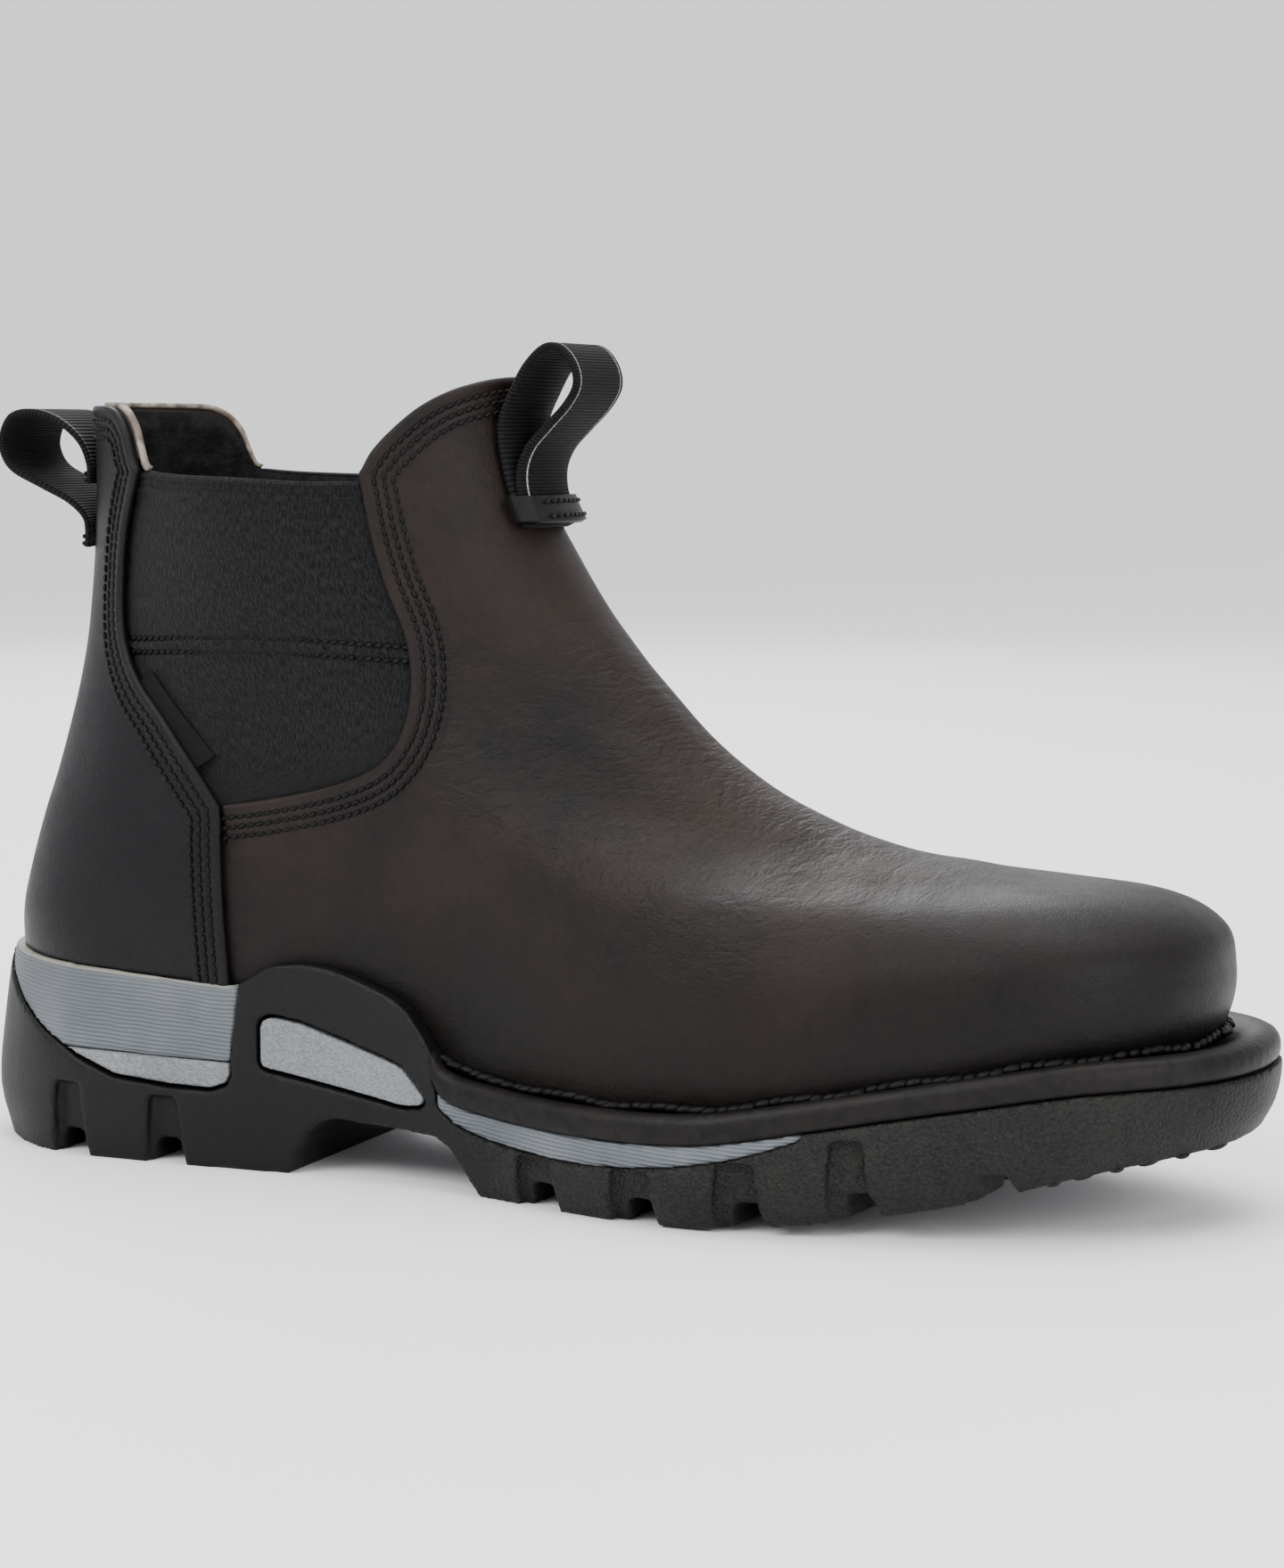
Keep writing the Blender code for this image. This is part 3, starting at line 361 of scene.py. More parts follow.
def trim(u, v, lost, line):
    """Cuts a grid of (u, v) where lost(face centres) says, and lays the cut's edge on a line."""
    rows, columns = u.shape
    here = last(u.ravel(), v.ravel()).reshape(rows, columns, 3)
    centre = (here[1:, 1:] + here[1:, :-1] + here[:-1, 1:] + here[:-1, :-1]) / 4
    gone = lost(centre[..., [0, 2]].reshape(-1, 2)).reshape(rows - 1, columns - 1)
    touched, whole = np.zeros((rows, columns), int), np.zeros((rows, columns), int)
    for di in (0, 1):
        for dj in (0, 1):
            touched[di:rows - 1 + di, dj:columns - 1 + dj] += gone
            whole[di:rows - 1 + di, dj:columns - 1 + dj] += 1
    edge = (touched > 0) & (touched < whole)
    feet, _ = nearest(here[edge][:, [0, 2]], line)
    side = np.sign(here[edge][:, 1])
    new_u, new_v = on_side(feet[:, 0], feet[:, 1], side)
    u, v = u.copy(), v.copy()
    u[edge] = new_u + np.rint(u[edge] - new_u)
    v[edge] = new_v
    return u, v, ~gone.ravel()


# %% [markdown]
# ## Finishes
#
# Materials are sums written in Python. The small class below wraps one socket of a shader node. Adding
# or multiplying two of them adds the Math nodes that do the same, so a finish reads like a formula.


# %% Shader maths
class Signal:
    """One output of a shader node, used in sums and products."""

    def __init__(self, tree, socket):
        self.tree, self.socket = tree, socket

    def node(self, kind, settings, sockets, output=0):
        """A new node. A socket's value is a number, a colour or another Signal."""
        made = self.tree.nodes.new(kind)
        for name, setting in settings.items():
            setattr(made, name, setting)
        for name, value in sockets.items():
            if isinstance(value, Signal):
                self.tree.links.new(value.socket, made.inputs[name])
            else:
                made.inputs[name].default_value = value
        return Signal(self.tree, made.outputs[output])

    def sum(self, operation, *values):
        return self.node("ShaderNodeMath", {"operation": operation}, dict(enumerate(values)))

    def __add__(self, other):
        return self.sum("ADD", self, other)

    __radd__ = __add__

    def __sub__(self, other):
        return self.sum("SUBTRACT", self, other)

    def __rsub__(self, other):
        return self.sum("SUBTRACT", other, self)

    def __mul__(self, other):
        return self.sum("MULTIPLY", self, other)

    __rmul__ = __mul__

    def __pow__(self, power):
        return self.sum("POWER", self, power)

    def __abs__(self):
        return self.sum("ABSOLUTE", self)

    def between(self, low, high):
        """0 below low and 1 above high, smoothly."""
        return self.node("ShaderNodeMapRange", {"interpolation_type": "SMOOTHSTEP"},
                         {"Value": self, "From Min": low, "From Max": high})

    def noise(self, scale, detail=3.0, roughness=0.55):
        return self.node("ShaderNodeTexNoise", {},
                         {"Vector": self, "Scale": scale, "Detail": detail, "Roughness": roughness})

    def cells(self, scale):
        return self.node("ShaderNodeTexVoronoi", {}, {"Vector": self, "Scale": scale})

    def stretched(self, scale):
        return self.node("ShaderNodeMapping", {}, {"Vector": self, "Scale": scale})

    def axis(self, k):
        return self.node("ShaderNodeSeparateXYZ", {}, {"Vector": self}, k)

    def wave(self):
        """A sine between 0 and 1."""
        return self.sum("SINE", self) * 0.5 + 0.5

    def mix(self, one, two):
        """A colour between two, by this factor."""
        colours = [colour if isinstance(colour, Signal) else (*colour, 1) for colour in (one, two)]
        return self.node("ShaderNodeMix", {"data_type": "RGBA"},
                         {"Factor": self, 6: colours[0], 7: colours[1]}, 2)


UV_OUTPUT, OBJECT_OUTPUT = 2, 3


def finish_of(name, roughness, **constants):
    """A new material, its shader node, and its Object coordinates."""
    made = bpy.data.materials.new(name)
    made.use_nodes = True
    shader = made.node_tree.nodes["Principled BSDF"]
    shader.inputs["Roughness"].default_value = roughness
    for socket, value in constants.items():
        shader.inputs[socket.replace("_", " ")].default_value = value
    return made, shader, Signal(made.node_tree, None).node("ShaderNodeTexCoord", {}, {}, OBJECT_OUTPUT)


def chart_of(place):
    """The piece's own UV map, in metres."""
    return place.node("ShaderNodeTexCoord", {}, {}, UV_OUTPUT)


def connect(shader, signal, socket):
    signal.tree.links.new(signal.socket, shader.inputs[socket])


def bump(shader, height, distance, strength=1.0):
    connect(shader, height.node("ShaderNodeBump", {}, {"Height": height, "Distance": distance,
                                                       "Strength": strength}), "Normal")


# %% [markdown]
# ### Leather
#
# Pull-up leather is waxed. It is nearly black, with brown showing where the wax is thin, and it shines
# softly. Small cells and a fine noise make its pores, and stretched noise makes the fine wrinkles of the
# instep.


# %% Leather finishes
def leather(name, dark, light, roughness, wrinkles=0.0):
    """Waxed leather. wrinkles sets how strong the small folds near the instep are, and any wrinkles also
    make the leather darker towards the bottom and the toe.
    """
    made, shader, place = finish_of(name, roughness, Specular_IOR_Level=0.15)
    x, z = place.axis(0), place.axis(2)
    cloud = place.noise(26.0, 4.0, 0.62)
    brown_share = cloud.between(0.30, 0.74) * 0.65 + place.noise(7.0, 2.0).between(0.35, 0.65) * 0.35
    if wrinkles:
        # Any wrinkles also keep the brown high on the upper and away from the toe, so the leather is darker
        # towards the bottom and the toe.
        brown_share = brown_share * (z.between(0.030, 0.085) * 0.75 + 0.25) * (1.0 - x.between(0.070, 0.135) * 0.75)
    brown_share = brown_share + (place.noise(420.0, 4.0, 0.6) - 0.5) * 0.45
    connect(shader, brown_share.mix(dark, light), "Base Color")
    connect(shader, cloud.between(0.3, 0.75) * 0.10 + (roughness - 0.07)
            + place.noise(240.0, 2.0) * 0.12, "Roughness")
    pores = place.cells(1500.0).between(0.0, 0.55)
    grain = place.noise(800.0, 4.0, 0.62)
    height = pores * 0.30 + grain * 0.75
    if wrinkles:
        near = 1.0 - ((x - 0.035) ** 2.0 * 150.0 + (z - 0.098) ** 2.0 * 300.0).between(0.05, 1.0)
        fine = place.stretched((420.0, 110.0, 720.0)).noise(1.0, 4.0, 0.6)
        broad = place.stretched((150.0, 35.0, 240.0)).noise(1.0, 3.0, 0.5)
        folds = abs(fine - 0.5).between(0.0, 0.14) * 0.5 + abs(broad - 0.5).between(0.0, 0.10) * 0.7
        height = height + near * folds * wrinkles
    bump(shader, height, 0.00019, 0.9)
    return made


vamp_leather = leather("vamp_leather", (0.0026, 0.0020, 0.0020), (0.0172, 0.0101, 0.0074), 0.46, 1.1)
counter_leather = leather("counter_leather", (0.0020, 0.0021, 0.0025), (0.0060, 0.0059, 0.0066), 0.46)
print("leather finishes:", vamp_leather.name, counter_leather.name)


# %% Cloth, felt and raw edges
def plain_grain(name, dark, light, roughness, scale, distance, detail=3.0, **constants):
    """A finish with one noise for its tone and one for its surface."""
    made, shader, place = finish_of(name, roughness, **constants)
    connect(shader, place.noise(scale * 0.35, detail).between(0.35, 0.68).mix(dark, light), "Base Color")
    bump(shader, place.noise(scale, detail, 0.65), distance)
    return made


felt = plain_grain("lining_felt", (0.002, 0.002, 0.0022), (0.008, 0.008, 0.0085), 0.95, 900.0, 0.0006,
                   Specular_IOR_Level=0.15)
raw_leather = plain_grain("raw_leather_edge", (0.10, 0.078, 0.060), (0.30, 0.26, 0.21), 0.88, 700.0,
                          0.0004)
thread = plain_grain("black_thread", (0.0006, 0.0006, 0.0007), (0.0020, 0.0020, 0.0023), 0.48, 2400.0,
                     0.0001, Specular_IOR_Level=0.15)


def gore_cloth():
    """Elastic cloth: fine ribs up the boot, crossed by the short stitches of its knit."""
    made, shader, place = finish_of("gore_cloth", 0.88, Specular_IOR_Level=0.10, Sheen_Weight=0.04,
                                    Sheen_Roughness=0.6)
    chart = chart_of(place)
    ribs = chart.stretched((2300.0, 520.0, 1.0)).noise(1.0, 2.0, 0.5)
    knit = chart.stretched((1000.0, 1700.0, 1.0)).noise(1.0, 3.0, 0.6)
    tone = ribs * 0.65 + knit * 0.35
    connect(shader, tone.between(0.41, 0.60).mix((0.0008, 0.0008, 0.0010), (0.0088, 0.0090, 0.0096)),
            "Base Color")
    bump(shader, ribs * 1.3 + knit * 1.0, 0.00026)
    return made


gore_finish = gore_cloth()
print("cloth finishes:", gore_finish.name, felt.name)

# %% [markdown]
# ### Rubber
#
# The outsole's rubber comes out of a mould that was etched with a fine stipple, so it looks matt and
# sparkles a little. The grey midsole has ribs along its side, and its inserts a coarser stipple.


# %% Rubber finishes
FOAM_RIB = 0.00098
HEEL_FADE = (-0.030, 0.000)


def rubber(name, dark, light, roughness, scale, distance, gloss, smooth_heel=False):
    """Stippled rubber. With smooth_heel the stipple fades behind the arch."""
    made, shader, place = finish_of(name, roughness, Specular_IOR_Level=gloss)
    speck = place.cells(scale).between(0.05, 0.75)
    tone = place.noise(35.0, 3.0) * 0.4 + place.noise(scale, 2.0) * 0.6
    height = speck * -1.0 + place.noise(scale * 1.7, 2.0) * 0.6
    if smooth_heel:
        fore = place.axis(0).between(*HEEL_FADE) * 0.8 + 0.2
        tone, height = (tone - 0.5) * fore + 0.36 + fore * 0.14, height * fore
    connect(shader, tone.between(0.36, 0.64).mix(dark, light), "Base Color")
    connect(shader, place.noise(60.0, 3.0) * 0.16 + (roughness - 0.08), "Roughness")
    bump(shader, height, distance)
    return made


def ribbed_foam():
    """Grey midsole rubber. Its ribs follow the top edge, and waver like the grain of wood."""
    made, shader, place = finish_of("ribbed_midsole", 0.55, Specular_IOR_Level=0.3)
    x, z = place.axis(0), place.axis(2)
    level = z + x * 0.056 + place.noise(38.0, 2.0) * 0.0016 + place.noise(150.0, 2.0) * 0.0005
    ribs = (level * (2 * math.pi / FOAM_RIB)).wave() * (place.noise(110.0, 3.0) * 0.9 + 0.35)
    grime = place.noise(30.0, 4.0).between(0.3, 0.75)
    tone = ribs * 0.45 + grime * 0.55
    grey = tone.between(0.05, 0.95).mix((0.070, 0.079, 0.088), (0.138, 0.151, 0.163))
    glue = (z + x * 0.056).between(0.0387, 0.0394) * (1.0 - x.between(-0.080, -0.076))
    connect(shader, (glue * 0.7).mix(grey, (0.26, 0.245, 0.20)), "Base Color")
    bump(shader, ribs + place.noise(1500.0, 2.0) * 0.25, 0.00026)
    return made


sole_rubber = rubber("sole_rubber", (0.0014, 0.0014, 0.0015), (0.0110, 0.0104, 0.0086), 0.55, 1300.0,
                     0.00022, 0.20, True)
welt_rubber = rubber("welt_rubber", (0.0022, 0.0019, 0.0018), (0.0070, 0.0053, 0.0045), 0.50, 420.0,
                     0.00007, 0.16)
insert_rubber = rubber("stippled_insert", (0.130, 0.138, 0.146), (0.190, 0.200, 0.210), 0.58, 1500.0,
                       0.00024, 0.3)
midsole_rubber = ribbed_foam()
print("rubber finishes:", sole_rubber.name, insert_rubber.name, midsole_rubber.name)

# %% [markdown]
# ## The upper
#
# One skin of leather runs right round the boot. It is a grid in (u, v), with a window for each gore.
# The creases are made one by one: each row of the table is a soft trough across the instep, where the foot
# bends the leather. Ridges beside the troughs keep the leather's area the same, as real creases do.

# %% Creases
# x and z of the middle, lean in degrees, length, width, depth, and side (-1 outer, 1 inner, 0 both)
CREASES = (
    (0.172, 0.1060, 62, 0.020, 0.0038, 0.00040, 0), (0.188, 0.0985, 55, 0.022, 0.0040, 0.00046, 0),
    (0.206, 0.0880, 48, 0.020, 0.0044, 0.00042, 0), (0.160, 0.1180, 66, 0.016, 0.0034, 0.00030, 0),
    (0.196, 0.0790, 30, 0.026, 0.0050, 0.00038, -1), (0.176, 0.0850, 38, 0.024, 0.0048, 0.00036, -1),
    (0.222, 0.0700, 24, 0.024, 0.0050, 0.00030, -1), (0.184, 0.0700, 22, 0.026, 0.0058, 0.00028, 1),
    (0.200, 0.0830, 34, 0.024, 0.0048, 0.00038, 1), (0.150, 0.0760, 16, 0.020, 0.0065, 0.00030, -1),
    (0.150, 0.0700, 12, 0.022, 0.0065, 0.00030, 1), (0.236, 0.0660, 18, 0.018, 0.0045, 0.00025, 0))


BOW, RIDGE, RIDGE_PLACE, SIDE_FADE, WAVE = 9.0, 0.5, 1.9, 0.02, 0.00022


def crease_height(points):
    """How far the leather moves out at points of the last."""
    total = np.zeros(len(points))
    for x, z, lean, length, width, depth, side in CREASES:
        angle = math.radians(lean)
        dx, dz = points[:, 0] - x, points[:, 2] - z
        run = dx * math.sin(angle) - dz * math.cos(angle)
        across = dx * math.cos(angle) + dz * math.sin(angle) + BOW * run ** 2
        fade = np.exp(-(run / length) ** 2)
        trough = np.exp(-(across / width) ** 2)
        trough -= RIDGE * np.exp(-((across - RIDGE_PLACE * width) / width) ** 2)
        where = 1.0 if side == 0 else np.clip(0.5 + side * points[:, 1] / SIDE_FADE, 0, 1)
        total -= depth * trough * fade * where
    return total


def leather_waves(points):
    """The slow unevenness of hand-lasted leather."""
    x, y, z = points.T
    return WAVE * (np.sin(x * 71 + z * 43 + 1.3) * np.sin(y * 93 + 0.7) + 0.6 * np.sin(
        x * 157 - y * 61 + z * 119))


# %% The upper's skin
COLUMNS, ROWS, UPPER_SKIN = 320, 118, 0.0015
ABOVE = 0.4
s, t = np.meshgrid(np.linspace(0, 1, COLUMNS + 1), np.linspace(0, 1, ROWS + 1))
tops = collar_v(s[0])
window = np.concatenate([gore_front, [[gore_front[-1][0], ABOVE], [gore_back[-1][0], ABOVE]],
                         gore_back[::-1]])
u, v, kept = trim(s, t * tops[None, :], lambda p: inside(p, window),
                  np.concatenate([gore_back[::-1], gore_front]))
base = last(u.ravel(), v.ravel())
points = shell(u.ravel(), v.ravel(), crease_height(base) + leather_waves(base))
upper = skin("upper_leather", points.reshape(*u.shape, 3), kept)
thicken(upper, UPPER_SKIN)
dress(upper, vamp_leather, replaces=("upper",))

# %% The felt lining
LINING_OUT, LINING_THICKNESS, LINING_DROP = -0.0017, 0.0009, 0.004
s, t = np.meshgrid(np.linspace(0, 1, 161), np.linspace(0, 1, 61))
tops = collar_v(s[0]) - LINING_DROP
points = shell(s.ravel(), (t * tops[None, :]).ravel(), LINING_OUT)
lining = skin("lining", points.reshape(*s.shape, 3))
thicken(lining, LINING_THICKNESS)
dress(lining, felt)

# %% [markdown]
# ## The back counter
#
# The counter is a second layer of leather over the heel. It is a grid between the sole's top line and
# the collar, trimmed along its front edge, and it stands a leather's thickness proud of the upper.

# %% The counter's skin
COUNTER_OUT, COUNTER_SKIN, COUNTER_U, EDGE_ROOM = 0.0019, 0.0016, 0.235, 0.0005
s, t = np.meshgrid(np.linspace(-COUNTER_U, COUNTER_U, 241), np.linspace(0, 1, 111))
low, high = foot_v(s[0], 0.0006), collar_v(s[0])
u, v, kept = trim(s, low[None, :] + t * (high - low)[None, :],
                  lambda p: p[:, 0] > np.interp(p[:, 1], *counter_edge.T[::-1]) - EDGE_ROOM,
                  counter_edge - [EDGE_ROOM, 0.0])
base = last(u.ravel(), v.ravel())
points = shell(u.ravel(), v.ravel(), COUNTER_OUT + 0.5 * leather_waves(base))
counter = skin("counter_leather_panel", points.reshape(*u.shape, 3), kept, merge=False)
thicken(counter, COUNTER_SKIN)
dress(counter, counter_leather, replaces=("back_counter",))

# %% [markdown]
# ## Edges that follow the leather
#
# Folded edges, raw edges and stitches all run beside an outline on the curved leather. A path is a list
# of (u, v). Moving it sideways takes small steps along the surface, so rows of stitches stay parallel.


# %% Paths on the last
SIDE_STEPS, CORNER_BLUR, TOP_POINTS = 5, 0.0035, 160


def even(u, v, pitch):
    """A path with its places evenly apart."""
    run = run_length(last(u, v))
    at = np.linspace(0, run[-1], max(2, int(round(run[-1] / pitch)) + 1))
    return np.interp(at, run, u), np.interp(at, run, v)


def beside(u, v, distance):
    """A path moved sideways along the surface: a positive distance is to its right.

    The sideways directions are blurred along the path, so the moved path has no loop at a corner.
    """
    points = last(u, v)
    side = unit(np.cross(np.gradient(points, axis=0), directions(u, v)[2]))
    run = run_length(points)
    weight = np.exp(-((run[:, None] - run[None, :]) / max(CORNER_BLUR, 0.8 * abs(distance))) ** 2)
    side = unit(weight @ side)
    for _ in range(SIDE_STEPS):
        around, upward, normal = directions(u, v)
        step = unit(side - normal * np.sum(side * normal, axis=1)[:, None]) * distance / SIDE_STEPS
        a, b, c = (np.sum(around * around, 1), np.sum(around * upward, 1), np.sum(upward * upward, 1))
        p, q = np.sum(around * step, 1), np.sum(upward * step, 1)
        det = a * c - b * b
        u, v = u + (p * c - q * b) / det, np.clip(v + (q * a - p * b) / det, 0, 1)
    return u, v


def both_sides(line, middle_u):
    """A path up a line on the outer side, over the collar at middle_u, and down the inner side."""
    outer_u, outer_v = on_side(line[:, 0], line[:, 1], np.full(len(line), -1.0))
    inner_u = 2 * middle_u - outer_u[::-1]
    across = np.linspace(outer_u[-1], inner_u[0], TOP_POINTS)[1:-1]
    return (np.concatenate([outer_u, across, inner_u]),
            np.concatenate([outer_v, collar_v(across), outer_v[::-1]]))


def ribbon(name, u, v, profile, pitch=0.0011):
    """A closed band along a path. The profile's places are (to the right, out)."""
    u, v = even(u, v, pitch)
    rings = [shell(*(beside(u, v, across) if across else (u, v)), out)
             for across, out in profile + profile[:1]]
    return skin(name, np.stack(rings), caps=True)


front_path = both_sides(gore_front, 0.5)
back_path = both_sides(counter_edge, 0.0)
for label, path in (("front", front_path), ("back", back_path)):
    print(label, "path", round(float(run_length(last(*path))[-1]), 3), "m")

# %% [markdown]
# ## Folded edges and stitched bands
#
# The leather's edge is folded and sewn with three rows. Each row pulls the leather down a little, so the
# band's profile has a raised lip and then a shallow trough under each row.

# %% Stitched bands
ROW_PLACES = (0.0030, 0.0053, 0.0076)
PROFILE_STEP, ROW_DIP, BAND_PITCH, STITCH_OUT = 0.00036, 0.00042, 0.0009, 0.00034


def band_profile(lift, rows, reach):
    """A lip at the edge, troughs under the stitch rows, and a feathered far edge."""
    over = [(-0.0001, lift - 0.0012), (-0.0003, lift - 0.0001), (0.0000, lift + 0.00035),
            (0.0006, lift + 0.00060), (0.0014, lift + 0.00062)]
    for place in np.arange(0.0018, reach, PROFILE_STEP):
        dip = sum(math.exp(-((place - row) / ROW_DIP) ** 2) for row in rows)
        fade = 1 - (place / reach) ** 2
        over.append((float(place), lift + (0.00050 - 0.00042 * dip) * fade - 0.00014 * (1 - fade)))
    return over + [(reach, lift - 0.0004), (reach * 0.5, lift - 0.0009)]


front_band = ribbon("front_stitched_band", *front_path, band_profile(0.0, ROW_PLACES, 0.0098), BAND_PITCH)
dress(front_band, vamp_leather)
back_profile = [(-a, o) for a, o in band_profile(COUNTER_OUT, ROW_PLACES, 0.0096)]
back_band = ribbon("counter_stitched_band", *back_path, back_profile, BAND_PITCH)
dress(back_band, counter_leather)


# %% Stitches
def stitch_rows(name, u, v, offsets, out, pitch=0.00235, size=(0.00116, 0.00056, 0.00044), lean=0.14):
    """Short rounded stitches in rows beside a path. lean turns each one a little out of its row."""
    bm = bmesh.new()
    count = 0
    for offset in offsets:
        row_u, row_v = beside(*even(u, v, 0.002), offset) if offset else (u, v)
        row_u, row_v = even(row_u, row_v, pitch)
        places = shell(row_u, row_v, out)
        normals = directions(row_u, row_v)[2]
        runs = np.gradient(places, axis=0)
        for place, normal, run in zip(places, normals, runs):
            z = Vector(normal).normalized()
            x = (Vector(run) - Vector(run).dot(z) * z).normalized()
            x = Matrix.Rotation(lean, 3, z) @ x
            turn = Matrix((x, z.cross(x), z)).transposed().to_4x4()
            matrix = Matrix.Translation(place) @ turn @ Matrix.Diagonal((*size, 1.0))
            bmesh.ops.create_uvsphere(bm, u_segments=6, v_segments=5, radius=1.0, matrix=matrix)
            count += 1
    print(name, count, "stitches")
    return piece_from(name, bm)


front_thread = stitch_rows("front_stitches", *front_path, ROW_PLACES, STITCH_OUT)
dress(front_thread, thread)
back_thread = stitch_rows("counter_stitches", *back_path, [-r for r in ROW_PLACES],
                          COUNTER_OUT + STITCH_OUT)
dress(back_thread, thread)

# %% The raw edge of the back tab
raw_u = np.linspace(-0.155, 0.155, 120)
raw_v = collar_v(raw_u)
raw_edge = ribbon("raw_collar_edge", raw_u, raw_v,
                  [(0.0, -0.0019), (0.0004, -0.0012), (0.0002, -0.0004), (-0.0010, -0.0004),
                   (-0.0010, -0.0019)])
dress(raw_edge, raw_leather)

# %% [markdown]
# ## The gores
#
# A gore is a panel of elastic cloth that lets the foot in. Its sides tuck under the leather. A double
# row of stitches crosses it, and its top edge is folded, so the cloth rises there in three small ridges.

# %% Gore panels
SEAM_Z, SEAM_ROW, TUCK, GORE_WALL, GORE_HEIGHT = 0.1237, 0.0016, 0.0030, 0.0012, 0.08
GORE_COLUMNS, GORE_ROWS = 81, 221


def seam_wave(x):
    return 0.0008 * np.sin(x * 55)




def gore_grid(side):
    """The panel's points: s runs from its back edge to its front edge, and t from its foot to its top."""
    s, t = np.meshgrid(np.linspace(0, 1, GORE_COLUMNS), np.linspace(0, 1, GORE_ROWS))
    s, t = s.ravel(), t.ravel()
    low = gore_back[0][1] - TUCK
    z = low + t * GORE_HEIGHT
    for _ in range(4):
        x = (np.interp(z, gore_back[:, 1], gore_back[:, 0]) - TUCK) * (1 - s)
        x = x + (np.interp(z, gore_front[:, 1], gore_front[:, 0]) + TUCK) * s
        top = collar_height(np.clip(x, 0.175 * LAST_LENGTH, 0.352 * LAST_LENGTH))
        z = low + t * (top - low)
    u, v = on_side(x, z, np.full(len(x), side))
    drop = top - z
    seam = z - SEAM_Z + seam_wave(x)
    out = -0.0010 + 0.0009 * np.sin(np.pi * s) * np.sin(np.pi * np.clip(t, 0, 1)) ** 0.5
    for fold, rise in ((0.0010, 0.0007), (0.0026, 0.0005), (0.0042, 0.0006)):
        out += rise * np.exp(-((drop - fold) / 0.0005) ** 2)
    out += 0.0005 * np.exp(-(seam / 0.0012) ** 2) - 0.0005 * np.exp(-((abs(seam) - SEAM_ROW) / 0.0006) ** 2)
    out += 0.00016 * np.sin(x * 2 * np.pi / 0.0023) * np.exp(-(seam / 0.004) ** 2)
    return shell(u, v, out).reshape(GORE_ROWS, GORE_COLUMNS, 3)


for name, side in (("outer", -1.0), ("inner", 1.0)):
    grid = gore_grid(side)
    if side > 0:
        grid = grid[:, ::-1]
    panel = skin(f"gore_cloth_{name}", grid, scale=(0.080, 0.080), merge=False)
    thicken(panel, GORE_WALL)
    dress(panel, gore_finish, replaces=(f"gore_{name}",))
    x = np.linspace(gore_back[:, 0].min() + 0.002, gore_front[:, 0].max() - 0.002, 70)
    for k, dz in enumerate((-SEAM_ROW, SEAM_ROW)):
        path = on_side(x, SEAM_Z - seam_wave(x) + dz, np.full(len(x), side))
        row = stitch_rows(f"gore_seam_{name}_{k}", *path, (0.0,), -0.0006, 0.0022,
                          (0.00105, 0.00056, 0.00046), 0.30)
        dress(row, thread)

# %% [markdown]
# A short woven tag is caught in the counter's seam and lies over the gore. Only the outer side has one.

# %% The tag
# x and z of the corners: the lower edge's ends, then the upper edge's ends
TAG = np.array([[(0.0484, 0.1134), (0.0668, 0.0942)], [(0.0540, 0.1173), (0.0728, 0.0983)]])
TAG_SIZE, TAG_COLUMNS, TAG_ROWS, TAG_WALL = (0.0264, 0.0068), 41, 13, 0.0007
s, t = np.meshgrid(np.linspace(0, 1, TAG_COLUMNS), np.linspace(0, 1, TAG_ROWS))
lower, upper_edge = (edge[0] * (1 - s[..., None]) + edge[1] * s[..., None] for edge in TAG)
flat = (lower * (1 - t[..., None]) + upper_edge * t[..., None]).reshape(-1, 2)
tag_u, tag_v = on_side(flat[:, 0], flat[:, 1], np.full(len(flat), -1.0))
rise = 0.0011 - 0.0006 * np.ravel(t) ** 2 + 0.00025 * np.sin(np.ravel(s) * 5.0)
tag = skin("side_tag", shell(tag_u, tag_v, rise).reshape(TAG_ROWS, TAG_COLUMNS, 3), scale=TAG_SIZE,
           merge=False)
thicken(tag, TAG_WALL)
weave, shader, place = finish_of("tag_weave", 0.75, Specular_IOR_Level=0.12)
chart = chart_of(place)
satin = chart.stretched((1500.0, 5200.0, 1.0)).noise(1.0, 2.0, 0.5)
connect(shader, satin.between(0.35, 0.65).mix((0.0012, 0.0012, 0.0014), (0.0045, 0.0045, 0.005)),
        "Base Color")
bump(shader, satin, 0.0001)
dress(tag, weave)

# %% [markdown]
# ## The sole
#
# The sole is one block cut into its parts by side-view outlines, as its mould would part them. The cuts
# leave sharp edges, so each part is rebuilt with a voxel remesh and smoothed. Moulded rubber has soft
# edges like these.


# %% The sole's side
def rim_points(u, offset):
    """Points beside the last's lower edge, level with it, at an outward offset."""
    run = last(u + STEP_U, 0.0) - last(u - STEP_U, 0.0)
    out = unit(np.stack([run[:, 1], -run[:, 0], np.zeros(len(u))], axis=1))
    return last(u, 0.0) + out * np.ravel(offset)[:, None]


def side_points(u, rise, inflate=0.0):
    """Points on the sole's side, at a share of its height."""
    at = last(u, 0.0)[:, 0] / LAST_LENGTH
    offsets = np.stack([smooth(SPREADS[:, 0], column, at) for column in SPREADS.T[1:]])
    points = rim_points(u, SOLE_EDGE * smooth(SIDE_RISES, offsets, np.full(len(u), rise)) + inflate)
    low, high = under_height(points[:, 0]), top_height(points[:, 0])
    points[:, 2] = low + (high - low) * rise
    return points


def across_rows(ring, height, count):
    """Rows from a ring of points in to the boot's middle line."""
    middle = (ring + ring[::-1]) / 2
    rows = [ring + (middle - ring) * k / count for k in range(1, count + 1)]
    for row in rows:
        row[:, 2] = height(row[:, 0])
    return rows


SOLE_COLUMNS, SOLE_RINGS, SOLE_ROWS = 240, 13, 8
SOLE_TOP = HEEL_HEIGHT * 1.44
HOLLOW_LEVELS = (0.2, 0.14, 0.08, 0.04, 0.0)


